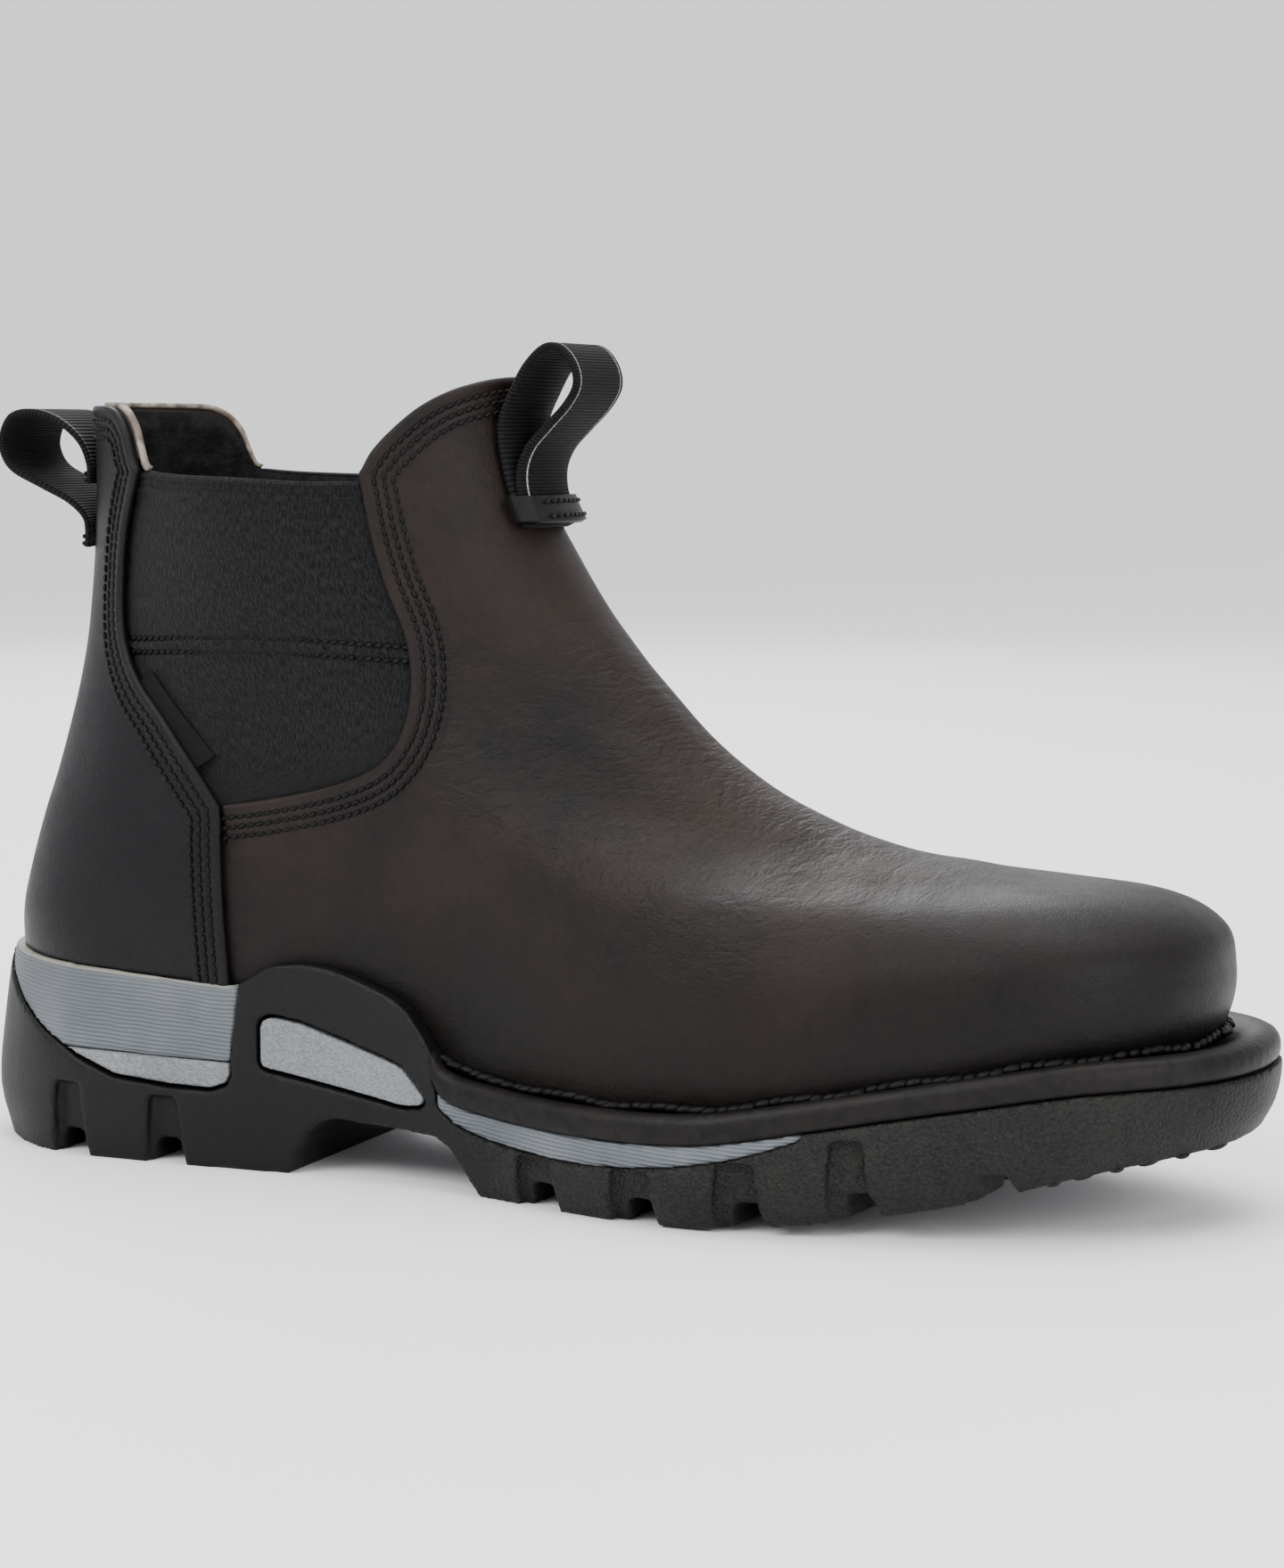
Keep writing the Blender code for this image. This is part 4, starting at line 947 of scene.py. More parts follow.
def sole_block(name, inflate=0.0, hollow=True):
    """The whole sole, from the underside to above its top line, hollowed by the last."""
    u = np.linspace(0, 1, SOLE_COLUMNS + 1)
    rings = [side_points(u, rise, inflate) for rise in np.linspace(0, 1, SOLE_RINGS)]
    under = across_rows(rings[0], under_height, SOLE_ROWS)[::-1]
    ceiling = rings[-1].copy()
    ceiling[:, 2] = SOLE_TOP
    if hollow:
        levels = [np.full(len(u), level) for level in HOLLOW_LEVELS]
        inner = [last(u, v) + directions(u, v)[2] * GAP for v in levels]
        inner[-1][:, 2] -= GAP
        roof = inner + across_rows(inner[-1], lambda x: bed_height(x) - GAP, SOLE_ROWS)
    else:
        roof = across_rows(ceiling, lambda x: SOLE_TOP, SOLE_ROWS)
    made = skin(name, np.stack(under + rings + [ceiling] + roof) + ROOT)
    turn_outwards(made, 2e-5)
    return made


# %% Cutting helpers
FAR, MIDDLE_Y, TOP_LINE_END, TOP_LINE_POINTS = 0.2, -0.004, 1.10, 140
SIDES = (("outer", -FAR, MIDDLE_Y), ("inner", MIDDLE_Y, FAR))


def prism(name, outline, low=-FAR, high=FAR, more=()):
    """A cutter with a side-view outline, or with several that don't touch."""
    bm = bmesh.new()
    for line in (outline, *more):
        bottom = bm.faces.new([bm.verts.new((x + ROOT[0], low, z)) for x, z in line])
        grown = bmesh.ops.extrude_face_region(bm, geom=[bottom])
        moved = [g for g in grown["geom"] if isinstance(g, bmesh.types.BMVert)]
        bmesh.ops.translate(bm, verts=moved, vec=(0, high - low, 0))
    bmesh.ops.triangulate(bm, faces=bm.faces)
    bmesh.ops.recalc_face_normals(bm, faces=bm.faces)
    return piece_from(name, bm)


def cut(piece, cutter, operation="DIFFERENCE"):
    """Applies one Boolean cut and drops the cutter."""
    step = piece.modifiers.new("cut", "BOOLEAN")
    step.operation, step.solver, step.object = operation, "MANIFOLD", cutter
    bake(piece)
    bpy.data.objects.remove(cutter)


def bake(piece):
    """Applies a piece's modifiers to its mesh."""
    bpy.context.view_layer.update()
    graph = bpy.context.evaluated_depsgraph_get()
    mesh = bpy.data.meshes.new_from_object(piece.evaluated_get(graph))
    piece.modifiers.clear()
    piece.data = mesh


def mould(piece, voxel, passes, keep=1.0):
    """Rebuilds a cut block with even faces, softens its edges and thins its flat areas."""
    step = piece.modifiers.new("remesh", "REMESH")
    step.mode, step.voxel_size = "VOXEL", voxel
    soft = piece.modifiers.new("soft", "SMOOTH")
    soft.factor, soft.iterations = 0.5, passes
    bake(piece)
    if keep < 1:
        thin = piece.modifiers.new("thin", "DECIMATE")
        thin.ratio = keep
        bake(piece)
    piece.data.shade_smooth()
    print(piece.name, "moulded,", len(piece.data.polygons), "faces")


def window_line(table):
    """A table of shares as side-view places in metres."""
    return [(LAST_LENGTH * at, HEEL_HEIGHT * up) for at, up in table]


def curved(points, steps=6):
    """A smooth line through side-view places, with steps points for each of them."""
    return smooth_line(np.array(points), (len(points) - 1) * steps + 1).tolist()


def roofed(line):
    """A line closed far above the boot."""
    return list(line) + [(line[-1][0], FAR), (line[0][0], FAR)]


def top_line(start, drop):
    """The sole's top line from start past the toe, lowered by drop."""
    x = LAST_LENGTH * np.linspace(start, TOP_LINE_END, TOP_LINE_POINTS)
    return list(zip(x, top_height(x) - drop))


# %% Outlines of the sole's parts (share of LAST_LENGTH, share of HEEL_HEIGHT)
HEEL_WINDOW = ((0.003, 1.340), (0.020, 1.190), (0.048, 1.010), (0.080, 0.840), (0.104, 0.740))
HEEL_WINDOW_END = ((0.256, 0.722), (0.264, 1.230))
HEEL_WEDGE = ((0.104, 0.740), (0.116, 0.690), (0.151, 0.575), (0.200, 0.540), (0.238, 0.533),
              (0.252, 0.575), (0.256, 0.640), (0.256, 0.722))
FOREFOOT_WINDOW = ((0.442, 0.560), (0.460, 0.460), (0.500, 0.385), (0.570, 0.345), (0.650, 0.395),
                   (0.710, 0.500), (0.752, 0.620))
SHANK_PLATE = ((0.2832, 0.740), (0.2832, 0.970), (0.2850, 1.010), (0.2900, 1.032), (0.296, 1.035),
               (0.318, 1.010), (0.402, 0.800), (0.410, 0.770), (0.4285, 0.610), (0.4285, 0.580),
               (0.424, 0.550), (0.412, 0.538), (0.404, 0.540), (0.290, 0.700), (0.2850, 0.712))
ARCH = ((0.318, -0.400), (0.304, 0.000), (0.312, 0.170), (0.322, 0.300), (0.332, 0.365), (0.345, 0.400),
        (0.440, 0.360), (0.452, 0.300), (0.462, 0.200), (0.476, 0.000), (0.480, -0.400))
WELT_START, WELT_THICKNESS, WELT_LEDGE = 0.440, 0.0062, 0.0025
CORE = ((0.20, 1.8), (0.20, 0.56), (0.52, 0.56), (0.52, 1.8))
CORE_SIDES = (-0.024, 0.019)
MIDSOLE_RECESS, PLATE_RECESS, PLATE_DEPTH, PLATE_ROOM = 0.0006, 0.0008, 0.0030, 0.0009


def grow(points, amount):
    """A closed outline moved outwards."""
    p = np.array(points)
    one, two = p - np.roll(p, 1, axis=0), np.roll(p, -1, axis=0) - p
    one, two = (d / (np.linalg.norm(d, axis=1)[:, None] + 1e-12) for d in (one, two))
    normal = np.stack([one[:, 1] + two[:, 1], -one[:, 0] - two[:, 0]], axis=1)
    normal /= np.linalg.norm(normal, axis=1)[:, None] + 1e-12
    area = np.sum(p[:, 0] * np.roll(p[:, 1], -1) - np.roll(p[:, 0], -1) * p[:, 1])
    return [tuple(q) for q in p + normal * amount * (1 if area > 0 else -1)]


plate_line = window_line(SHANK_PLATE)
heel_window = window_line(HEEL_WINDOW + HEEL_WINDOW_END)
front_window = curved(window_line(FOREFOOT_WINDOW))
wedge_line = window_line(HEEL_WEDGE)
print("sole outlines:", len(heel_window), len(front_window), len(wedge_line), "corners")

# %% [markdown]
# ### The outsole
#
# The outsole carries the lugs. Each groove is a tapered bar, wider at the ground, so the lugs have the
# slanted sides that let mud fall out. The long channels split the edge lugs from the middle ones.

# %% Tread grooves
OUTER_GROOVES = ((0.106, 0.0), (0.195, 0.0), (0.534, 0.010), (0.620, 0.014), (0.703, 0.016),
                 (0.783, 0.018), (0.878, 0.012))
INNER_GROOVES = ((0.112, 0.0), (0.203, 0.0), (0.546, 0.010), (0.632, 0.014), (0.714, 0.016),
                 (0.794, 0.018), (0.888, 0.012))
GROOVE_WIDTH, LUG_DEPTH, EDGE_SHARE, MIDDLE_POINT, OVERRUN = 0.0070, 0.0060, 0.56, 0.022, 0.022
LONG_CHANNELS = ((0.015, 0.230), (0.505, 0.925))


def edge_y(x, side):
    """How far the last's lower edge lies from the middle line at a place along the boot."""
    u = np.linspace(0.002, 0.498, 400)
    edge = last(u if side < 0 else 1 - u, 0.0)
    return float(np.interp(x, edge[:, 0], edge[:, 1]))


def groove(name, route):
    """A tapered cutter along a route on the underside."""
    route = np.array(route)
    run = unit(np.gradient(route, axis=0))
    across = np.stack([-run[:, 1], run[:, 0]], axis=1) * GROOVE_WIDTH / 2
    under = under_height(route[:, 0])
    corners = ((1, 1.6, -LUG_DEPTH), (-1, 1.6, -LUG_DEPTH), (-1, 0.8, LUG_DEPTH), (1, 0.8, LUG_DEPTH))
    rings = [np.column_stack([route + across * side * wide, under + rise]) + ROOT
             for side, wide, rise in corners + corners[:1]]
    return skin(name, np.stack(rings), caps=True)


def groove_routes():
    """Grooves in from each edge, channels along the boot, and grooves across its middle."""
    for side, rows in ((-1, OUTER_GROOVES), (1, INNER_GROOVES)):
        for at, lean in rows:
            x = LAST_LENGTH * at
            y = edge_y(x, side)
            yield [(x, y + side * OVERRUN), (x + LAST_LENGTH * lean, EDGE_SHARE * y)]
        for low, high in LONG_CHANNELS:
            yield [(x, EDGE_SHARE * edge_y(x, side)) for x in LAST_LENGTH * np.linspace(low, high, 12)]
    for at, lean in OUTER_GROOVES:
        x = LAST_LENGTH * (at + lean)
        ends = [(x, EDGE_SHARE * edge_y(x, -1)), (x, EDGE_SHARE * edge_y(x, 1))]
        yield [ends[0], (x + LAST_LENGTH * MIDDLE_POINT, sum(e[1] for e in ends) / 2), ends[1]]


# %% Cut the outsole
outsole = sole_block("outsole_rubber")
cut(outsole, prism("above", roofed(top_line(-0.06, 0.0))))
cut(outsole, prism("heel_space", roofed(grow(heel_window, 0.0003))))
cut(outsole, prism("front_space", roofed(front_window)))
welt_band = top_line(WELT_START, WELT_THICKNESS + 0.0002)
cut(outsole, prism("welt_space", roofed(welt_band)))
cut(outsole, prism("wedge_space", grow(wedge_line, 0.0006)))
cut(outsole, prism("arch", window_line(ARCH)))
for k, route in enumerate(groove_routes()):
    cut(outsole, groove(f"groove_{k}", route))
print("outsole cut:", len(outsole.data.polygons), "faces")

# %% Channels up the side
# height, and half the width below and above, in metres
CHANNELS = ((0.0180, 0.0056, 0.0036), (0.0165, 0.0056, 0.0036), (0.0124, 0.0062, 0.0046),
            (0.0128, 0.0062, 0.0046), (0.0165, 0.0060, 0.0042), (0.0225, 0.0056, 0.0034),
            (0.0120, 0.0056, 0.0046))
CHANNEL_DEPTH, UNDER = 0.0024, -0.004
for (name, low, high), grooves in zip(SIDES, (OUTER_GROOVES, INNER_GROOVES)):
    lines = []
    for (at, _), (height, below, above) in zip(grooves, CHANNELS):
        x = LAST_LENGTH * at
        lines.append([(x - below, UNDER), (x + below, UNDER), (x + above, height), (x - above, height)])
    channel = prism(f"channels_{name}", lines[0], low, high, lines[1:])
    cut(channel, sole_block("channel_floor", -CHANNEL_DEPTH, hollow=False))
    cut(outsole, channel)
print("channels cut:", len(CHANNELS), "on each side")

# %% Plate pockets
for name, low, high in SIDES:
    pocket = prism(f"pocket_{name}", grow(plate_line, PLATE_ROOM), low, high)
    cut(pocket, sole_block("pocket_floor", -PLATE_RECESS - PLATE_DEPTH, hollow=False))
    cut(outsole, pocket)
mould(outsole, 0.00074, 1, 0.55)
dress(outsole, sole_rubber, replaces=("outsole",))

# %% Small bars under the toe
TOE_ROWS = (0.918, 0.938, 0.958, 0.978, 0.998, 1.018)
BAR_SIZE, BAR_PITCH, BAR_TURN, SLOPE_STEP = (0.0018, 0.0034, 0.0009), 0.0082, 0.4, 0.002
rim = side_points(np.linspace(0.25, 0.75, 801), 0.0)
bm = bmesh.new()
for row, at in enumerate(TOE_ROWS):
    x = LAST_LENGTH * at
    outer, inner = (float(np.interp(x, *half[:, :2].T)) for half in (rim[:401], rim[:400:-1]))
    z, ahead = (float(h) for h in under_height(np.array([x, x + SLOPE_STEP])))
    slope = math.atan2(ahead - z, SLOPE_STEP)
    for y in np.linspace(outer + BAR_SIZE[1], inner - BAR_SIZE[1], int((inner - outer) / BAR_PITCH)):
        matrix = (Matrix.Translation(Vector((x, y, z)) + Vector(ROOT)) @ Matrix.Rotation(-slope, 4, "Y")
                  @ Matrix.Rotation(BAR_TURN * (-1) ** row, 4, "Z") @ Matrix.Diagonal((*BAR_SIZE, 1)))
        bmesh.ops.create_uvsphere(bm, u_segments=10, v_segments=6, radius=1.0, matrix=matrix)
toe_bars = piece_from("toe_tread_bars", bm)
dress(toe_bars, sole_rubber)

# %% The shank plates
for name, low, high in SIDES:
    plate = sole_block(f"shank_insert_{name}", -PLATE_RECESS + 0.0004, hollow=False)
    cut(plate, prism("plate_block", plate_line, low, high), "INTERSECT")
    cut(plate, sole_block("plate_floor", -PLATE_RECESS - PLATE_DEPTH, hollow=False))
    mould(plate, 0.00035, 4)
    dress(plate, insert_rubber, replaces=(f"shank_plate_{name}",))

# %% The midsole and the heel wedge
midsole = sole_block("midsole_ribbed", -MIDSOLE_RECESS)
form = prism("midsole_form", roofed(heel_window))
cut(form, prism("front_form", roofed(front_window)), "UNION")
cut(form, prism("core_form", window_line(CORE), *CORE_SIDES), "UNION")
cut(midsole, form, "INTERSECT")
cut(midsole, prism("above", roofed(top_line(-0.06, 0.0))))
cut(midsole, prism("under_welt", roofed(welt_band)))
mould(midsole, 0.00085, 2)
dress(midsole, midsole_rubber, replaces=("midsole",))

wedge = sole_block("heel_insert", -MIDSOLE_RECESS, hollow=False)
cut(wedge, prism("wedge_block", grow(wedge_line, -0.0003)), "INTERSECT")
mould(wedge, 0.00055, 3)
dress(wedge, insert_rubber, replaces=("heel_wedge",))

# %% [markdown]
# ### The welt
#
# The welt is a strip of rubber round the forefoot. It is swept along the sole's rim from a rounded
# profile, and a rope of heavy thread lies in the groove between it and the leather.

# %% The welt strip
welt_u = on_side(np.array([LAST_LENGTH * (WELT_START + 0.004)]), np.array([0.030]), np.array([-1.0]))[0][0]
u = np.linspace(welt_u, 1 - welt_u, 420)


def welt_row(share, drop):
    """One line of the welt's profile: a share of the way out to the rim, and a drop from the top."""
    outer, inner = side_points(u, 1.0), rim_points(u, -WELT_LEDGE)
    row = inner + (outer - inner) * share
    row[:, 2] = top_height(row[:, 0]) - drop
    return row + ROOT


WELT_PROFILE = ((0.0, 0.0062), (0.50, 0.0062), (0.92, 0.0062), (0.975, 0.0058), (1.0, 0.0050),
                (1.010, 0.0038), (1.005, 0.0025), (0.985, 0.0014), (0.95, 0.0005), (0.89, -0.0001),
                (0.80, -0.0005), (0.70, -0.0004), (0.60, 0.0001), (0.52, 0.0008), (0.44, 0.0016),
                (0.30, 0.0017), (0.0, 0.0004))
welt = skin("welt_strip", np.stack([welt_row(*row) for row in WELT_PROFILE + WELT_PROFILE[:1]]), caps=True)
dress(welt, welt_rubber, replaces=("welt",))

# %% The rope stitch
ROPE_OUT, ROPE_PITCH, ROPE_SIZE = 0.0009, 0.0030, (0.0027, 0.00125, 0.00115)
bm = bmesh.new()
run = shell(u, foot_v(u, ROPE_OUT), ROPE_OUT)
places = run_length(run)
count = int(places[-1] / ROPE_PITCH)
even_run = np.stack([np.interp(np.linspace(0, places[-1], count), places, run[:, k]) for k in range(3)], 1)
turns = np.gradient(even_run, axis=0)
for k, (place, along) in enumerate(zip(even_run, turns)):
    x = Vector(along).normalized()
    y = Vector((0, 0, 1)).cross(x).normalized()
    tilt = Matrix.Rotation(math.radians(28 + 17 * math.sin(k * 2.4)), 3, x.cross(y)) @ x
    place = Vector(place) + y * 0.00035 * math.sin(k * 1.1) + Vector((0, 0, 0.0004 * math.sin(k * 0.7)))
    turn = Matrix((tilt, x.cross(y).cross(tilt), x.cross(y))).transposed().to_4x4()
    size = Matrix.Diagonal((ROPE_SIZE[0] + 0.0006 * math.sin(k * 1.7), *ROPE_SIZE[1:], 1.0))
    bmesh.ops.create_uvsphere(bm, u_segments=8, v_segments=6, radius=1.0,
                              matrix=Matrix.Translation(place) @ turn @ size)
rope = piece_from("welt_rope_stitch", bm)
print("rope:", count, "strands over", round(float(places[-1]), 3), "m")
dress(rope, thread)

# %% The insole
INSOLE_INSET, INSOLE_THICKNESS, INSOLE_ROWS = 0.0038, 0.0037, 10
ring = rim_points(np.linspace(0, 1, 161), -INSOLE_INSET)
ring[:, 2] = bed_height(ring[:, 0]) + GAP
top = ring + [0.0, 0.0, INSOLE_THICKNESS]
rows = across_rows(ring, lambda x: bed_height(x) + GAP, INSOLE_ROWS)[::-1] + [ring, top]
rows += across_rows(top, lambda x: bed_height(x) + GAP + INSOLE_THICKNESS, INSOLE_ROWS)
insole = skin("insole_felt", np.stack(rows) + ROOT)
turn_outwards(insole)
dress(insole, felt, replaces=("insole",))

# %% [markdown]
# ## Pull loops
#
# A loop of webbing is sewn to the front and the back. It is a flat strap along a curve in the middle
# plane. Where it lies on the leather it bends round the boot, and where it stands free it is flat.

# %% Loop routes (out as a share of LOOP_REACH, rise, how far it bends round the wall, layer)
LOOP_REACH, WEB_WIDTH, WEB_THICKNESS, ROUNDING = 0.018, 0.027, 0.0016, 0.0006
FACE_WIDTH, FACE_COLUMNS, WEB_RIB = WEB_WIDTH - 2 * ROUNDING, 20, 0.00088
FRONT_LOOP = np.array([
    (0.000, 0.800, 1.0, 0), (0.000, 0.860, 1.0, 0), (0.000, 0.925, 1.0, 0), (0.040, 0.975, 0.9, 0),
    (0.200, 1.020, 0.6, 0), (0.400, 1.062, 0.3, 0), (0.640, 1.090, 0.0, 0), (0.860, 1.088, 0.0, 0),
    (1.000, 1.062, 0.0, 0), (1.000, 1.030, 0.0, 0), (0.830, 0.998, 0.1, 0), (0.560, 0.965, 0.3, 0),
    (0.270, 0.930, 0.6, 0.3), (0.080, 0.890, 0.9, 0.8), (0.000, 0.845, 1.0, 1), (0.000, 0.800, 1.0, 1)])
REAR_LOOP = np.array([
    (0.000, 0.870, 1.0, 0), (0.000, 0.905, 1.0, 0), (0.110, 0.945, 0.8, 0), (0.380, 0.978, 0.4, 0),
    (0.720, 0.992, 0.1, 0), (1.020, 0.985, 0.0, 0), (1.170, 0.955, 0.0, 0), (1.170, 0.925, 0.0, 0),
    (1.000, 0.895, 0.0, 0), (0.600, 0.868, 0.2, 0), (0.240, 0.842, 0.6, 0), (0.040, 0.815, 0.9, 0),
    (0.000, 0.790, 1.0, 0), (0.000, 0.762, 1.0, 0)])


def webbing_finish():
    """Ribbed webbing: the ribs run across it, and a light thread marks both edges of its outer face."""
    made, shader, place = finish_of("loop_webbing", 0.86, Specular_IOR_Level=0.13)
    chart = chart_of(place)
    along = chart.axis(0) * (2 * math.pi / WEB_RIB)
    ribs = along.wave()
    edge = abs(chart.axis(1) - FACE_WIDTH / 2)
    line = edge.between(0.01125, 0.01135) * (1.0 - edge.between(0.01170, 0.01180))
    twill = (along * 0.5 + edge * 5200.0).wave()
    tone = (ribs * 0.8 + place.noise(700.0, 2.0) * 0.4).between(0.1, 1.0)
    cloth = tone.mix((0.0013, 0.0013, 0.0015), (0.0085, 0.0085, 0.0092))
    connect(shader, (line * (twill * 0.5 + 0.5)).mix(cloth, (0.36, 0.36, 0.37)), "Base Color")
    bump(shader, ribs + line * twill * 0.8, 0.00028)
    return made


web_finish = webbing_finish()


# %% A strap along a route
FOLD_WIDTH = 0.0018


def strap(name, centre_u, table, clearance, width, thickness, fold=0.0):
    """A closed flat strap with rounded edges. fold turns its two sides down to the leather."""
    side = 1.0 if centre_u == 0.5 else -1.0
    rise = HEEL_HEIGHT + UPPER_HEIGHT * table[:, 1]
    u = np.full(len(table), centre_u)
    v = find_v(u, lambda p: p[:, 2] - rise)
    foot = shell(u, v, clearance + table[:, 3] * (thickness + GAP)) - ROOT
    rough = np.column_stack([foot[:, 0] + side * LOOP_REACH * table[:, 0], foot[:, 2], table[:, 2]])
    places = np.arange(len(rough), dtype=float)
    fine = np.linspace(0, places[-1], 14 * (len(rough) - 1) + 1)
    x, z, wrap = (smooth(places, rough[:, k], fine) for k in range(3))
    run = unit(np.stack([np.gradient(x), np.gradient(z)], axis=1))
    length = float(run_length(np.stack([x, z], axis=1))[-1])
    wall_v = find_v(np.full(len(z), centre_u), lambda p: p[:, 2] - z)
    spread = np.linspace(0, 0.12, 60)
    rings = []
    half = width / 2
    face = np.linspace(-half + ROUNDING, half - ROUNDING, FACE_COLUMNS + 1)
    sections = [(y, -side * thickness / 2) for y in face] + [(half, 0.0)]
    sections += [(y, side * thickness / 2) for y in face[::-1]] + [(-half, 0.0)]
    bends = []
    for k in range(len(z)):
        edge = shell(centre_u - spread, wall_v[k], clearance) - ROOT
        bends.append((np.abs(edge[:, 1] - edge[0, 1]), edge[:, 0] - edge[0, 0]))
    for y, lift in sections + sections[:1]:
        bend = np.array([np.interp(abs(y), a, b) for a, b in bends])
        bend = bend - side * fold * min(1.0, max(0.0, (abs(y) - WEB_WIDTH / 2) / FOLD_WIDTH)) ** 2
        rings.append(np.column_stack([x + run[:, 1] * lift + wrap * bend, np.full(len(x), y),
                                      z - run[:, 0] * lift]) + ROOT)
    around = FACE_WIDTH * len(sections) / FACE_COLUMNS
    made = skin(name, np.stack(rings), scale=(length, around), caps=True)
    print(name, "is", round(length * 1000), "mm long")
    return made


clear = WEB_THICKNESS / 2 + 0.0010
front_loop = strap("front_loop_webbing", 0.5, FRONT_LOOP, clear, WEB_WIDTH, WEB_THICKNESS)
dress(front_loop, web_finish, replaces=("front_pull_loop",))
rear_loop = strap("rear_loop_webbing", 0.0, REAR_LOOP, clear + 0.0020, WEB_WIDTH, WEB_THICKNESS)
dress(rear_loop, web_finish, replaces=("rear_pull_loop",))


# %% Stitches across the sewn ends
def bow_stitches(name, heights, centre_u, spread, count, half_width, out):
    """Level rows of stitches across the middle of the toe side or of the back."""
    for k, height in enumerate(heights):
        u = np.linspace(centre_u - spread, centre_u + spread, count)
        v = level_v(u, height)
        near = np.abs(last(u, v)[:, 1] - last(np.array([centre_u]), v[:1])[0, 1]) < half_width
        row = stitch_rows(f"{name}_{k}", u[near], v[near], (0.0,), out)
        dress(row, thread)


bow_stitches("rear_loop_stitches", (0.768, 0.780, 0.876, 0.888), 0.0, 0.045, 80, 0.0120,
             clear + 0.0020 + 0.0009)

# %% The patch over the front loop's foot
PATCH = np.array([(0.0, 0.796, 1.0, 0), (0.0, 0.810, 1.0, 0), (0.0, 0.826, 1.0, 0), (0.0, 0.842, 1.0, 0)])
PATCH_WIDTH, PATCH_THICKNESS, PATCH_FOLD = 0.031, 0.0014, 0.0036
over = clear + 0.0032
patch = strap("front_loop_leather_patch", 0.5, PATCH, over, PATCH_WIDTH, PATCH_THICKNESS, PATCH_FOLD)
dress(patch, counter_leather, replaces=("front_loop_patch",))
bow_stitches("patch_stitches", (0.806, 0.832), 0.5, 0.030, 60, 0.0145, over + 0.0010)

# %% [markdown]
# ## Floor, light and camera
#
# The photograph was taken in a bright studio, from a little above and 23 degrees round from the side.
# The paper of the floor curves up all round, so no horizon shows. One large soft light stands on the
# camera's side, one in front of the toe, one lights the back, and one hangs over the boot.

# %% Floor
FLOOR_RADIUS, COVE, COVE_TOP = 2.2, 1.2, 2.2
bends = np.radians(np.arange(6, 91, 6))
profile = [(0.0, 0.0), (FLOOR_RADIUS, 0.0)]
profile += [(FLOOR_RADIUS + COVE * math.sin(a), COVE - COVE * math.cos(a)) for a in bends]
profile += [(FLOOR_RADIUS + COVE, COVE_TOP)]
bm = bmesh.new()
corners = [bm.verts.new((x, 0.0, z)) for x, z in profile]
edges = [bm.edges.new(pair) for pair in zip(corners, corners[1:])]
bmesh.ops.spin(bm, geom=corners + edges, axis=(0, 0, 1), cent=(0, 0, 0), angle=2 * math.pi, steps=96,
               use_merge=True)
bmesh.ops.remove_doubles(bm, verts=bm.verts, dist=1e-5)
bmesh.ops.recalc_face_normals(bm, faces=bm.faces)
floor = piece_from("studio_floor", bm)
paper = bpy.data.materials.new("studio_paper")
paper.use_nodes = True
paper_shader = paper.node_tree.nodes["Principled BSDF"]
paper_shader.inputs["Base Color"].default_value = (0.86, 0.86, 0.87, 1)
paper_shader.inputs["Roughness"].default_value = 0.9
floor.data.materials.append(paper)
print("floor:", len(floor.data.polygons), "faces,", 2 * (FLOOR_RADIUS + COVE), "m across")

# %% Lights
world = bpy.data.worlds.new("studio")
bpy.context.scene.world = world
world.use_nodes = True
world.node_tree.nodes["Background"].inputs["Color"].default_value = (0.93, 0.94, 0.96, 1)
world.node_tree.nodes["Background"].inputs["Strength"].default_value = 1.0


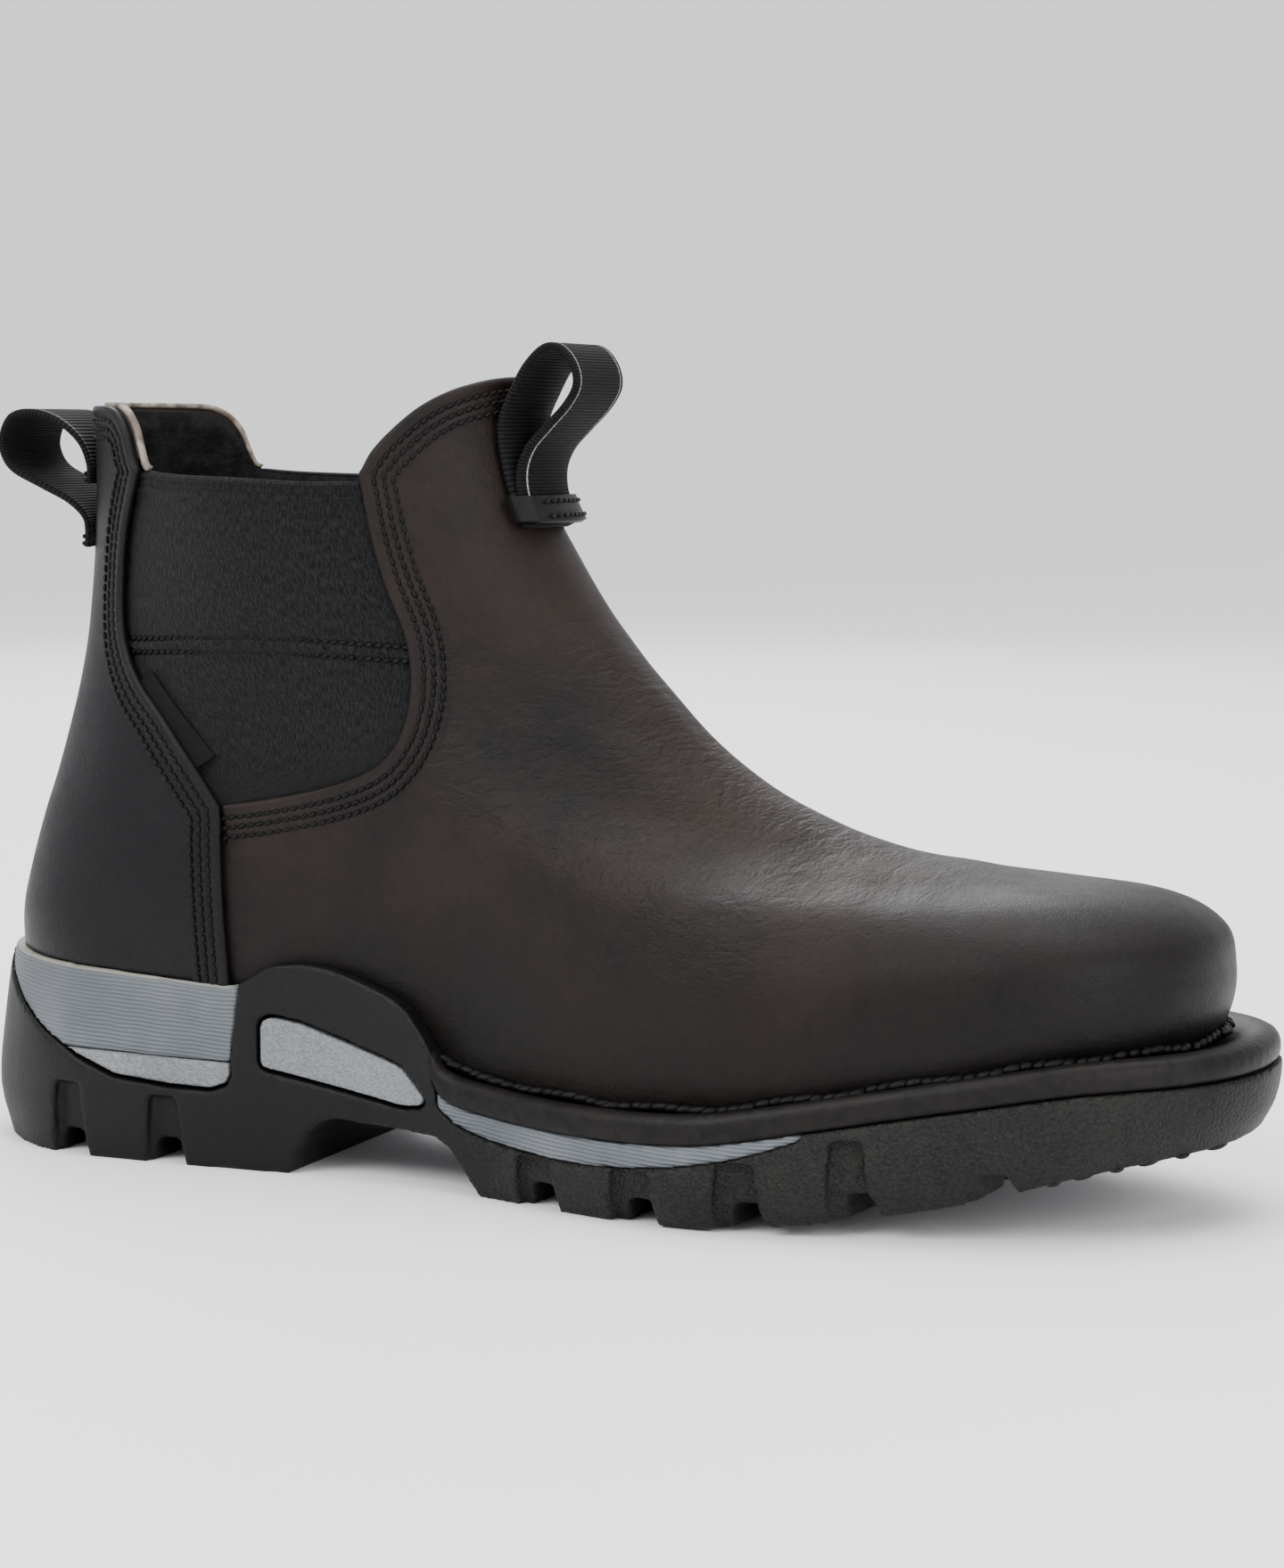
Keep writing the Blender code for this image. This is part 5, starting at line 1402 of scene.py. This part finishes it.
def soft_light(name, place, aim, size, power):
    """A rectangular light, in watts, that faces a point."""
    lamp = bpy.data.lights.new(name, "AREA")
    lamp.shape, lamp.size, lamp.size_y, lamp.energy = "RECTANGLE", size[0], size[1], power
    made = bpy.data.objects.new(name, lamp)
    made.location = place
    made.rotation_euler = (Vector(aim) - Vector(place)).to_track_quat("-Z", "Y").to_euler()
    bpy.context.scene.collection.objects.link(made)


soft_light("key", (-0.55, -1.35, 1.35), (0.0, 0.0, 0.06), (1.2, 0.9), 34.0)
soft_light("front", (1.50, -0.90, 0.80), (0.05, 0.0, 0.06), (0.7, 1.0), 18.0)
soft_light("overhead", (0.10, 0.25, 1.90), (0.02, 0.0, 0.05), (1.8, 1.4), 40.0)
soft_light("behind", (-0.90, 1.50, 1.20), (0.0, 0.0, 0.08), (1.2, 0.9), 22.0)
print("lights:", [lamp.name for lamp in bpy.data.lights])

# %% Camera
AZIMUTH, ELEVATION, DISTANCE = math.radians(23.0), math.radians(6.0), 0.8
SENSOR, PHOTO_WIDTH, PHOTO_HEIGHT, FOCAL_PIXELS = 36.0, 1440.0, 1759.0, 3828.0
CENTRE_PIXEL = (689.0, 888.5)
target = Vector((0.16, 0.0, 0.09)) + Vector(ROOT)
right = Vector((math.cos(AZIMUTH), math.sin(AZIMUTH), 0.0))
back = Vector((math.sin(AZIMUTH) * math.cos(ELEVATION), -math.cos(AZIMUTH) * math.cos(ELEVATION),
               math.sin(ELEVATION)))
turn = Matrix((right, back.cross(right), back)).transposed().to_4x4()
lens = bpy.data.cameras.new("camera")
lens.sensor_fit, lens.sensor_height = "VERTICAL", SENSOR
lens.lens = FOCAL_PIXELS / PHOTO_HEIGHT * SENSOR
lens.shift_x = (PHOTO_WIDTH / 2 - CENTRE_PIXEL[0]) / PHOTO_HEIGHT
lens.shift_y = (CENTRE_PIXEL[1] - PHOTO_HEIGHT / 2) / PHOTO_HEIGHT
camera = bpy.data.objects.new("camera", lens)
camera.matrix_world = Matrix.Translation(target + back * DISTANCE) @ turn
bpy.context.scene.collection.objects.link(camera)
bpy.context.scene.camera = camera
print("camera:", [round(c, 3) for c in camera.location], "lens", round(lens.lens, 1))
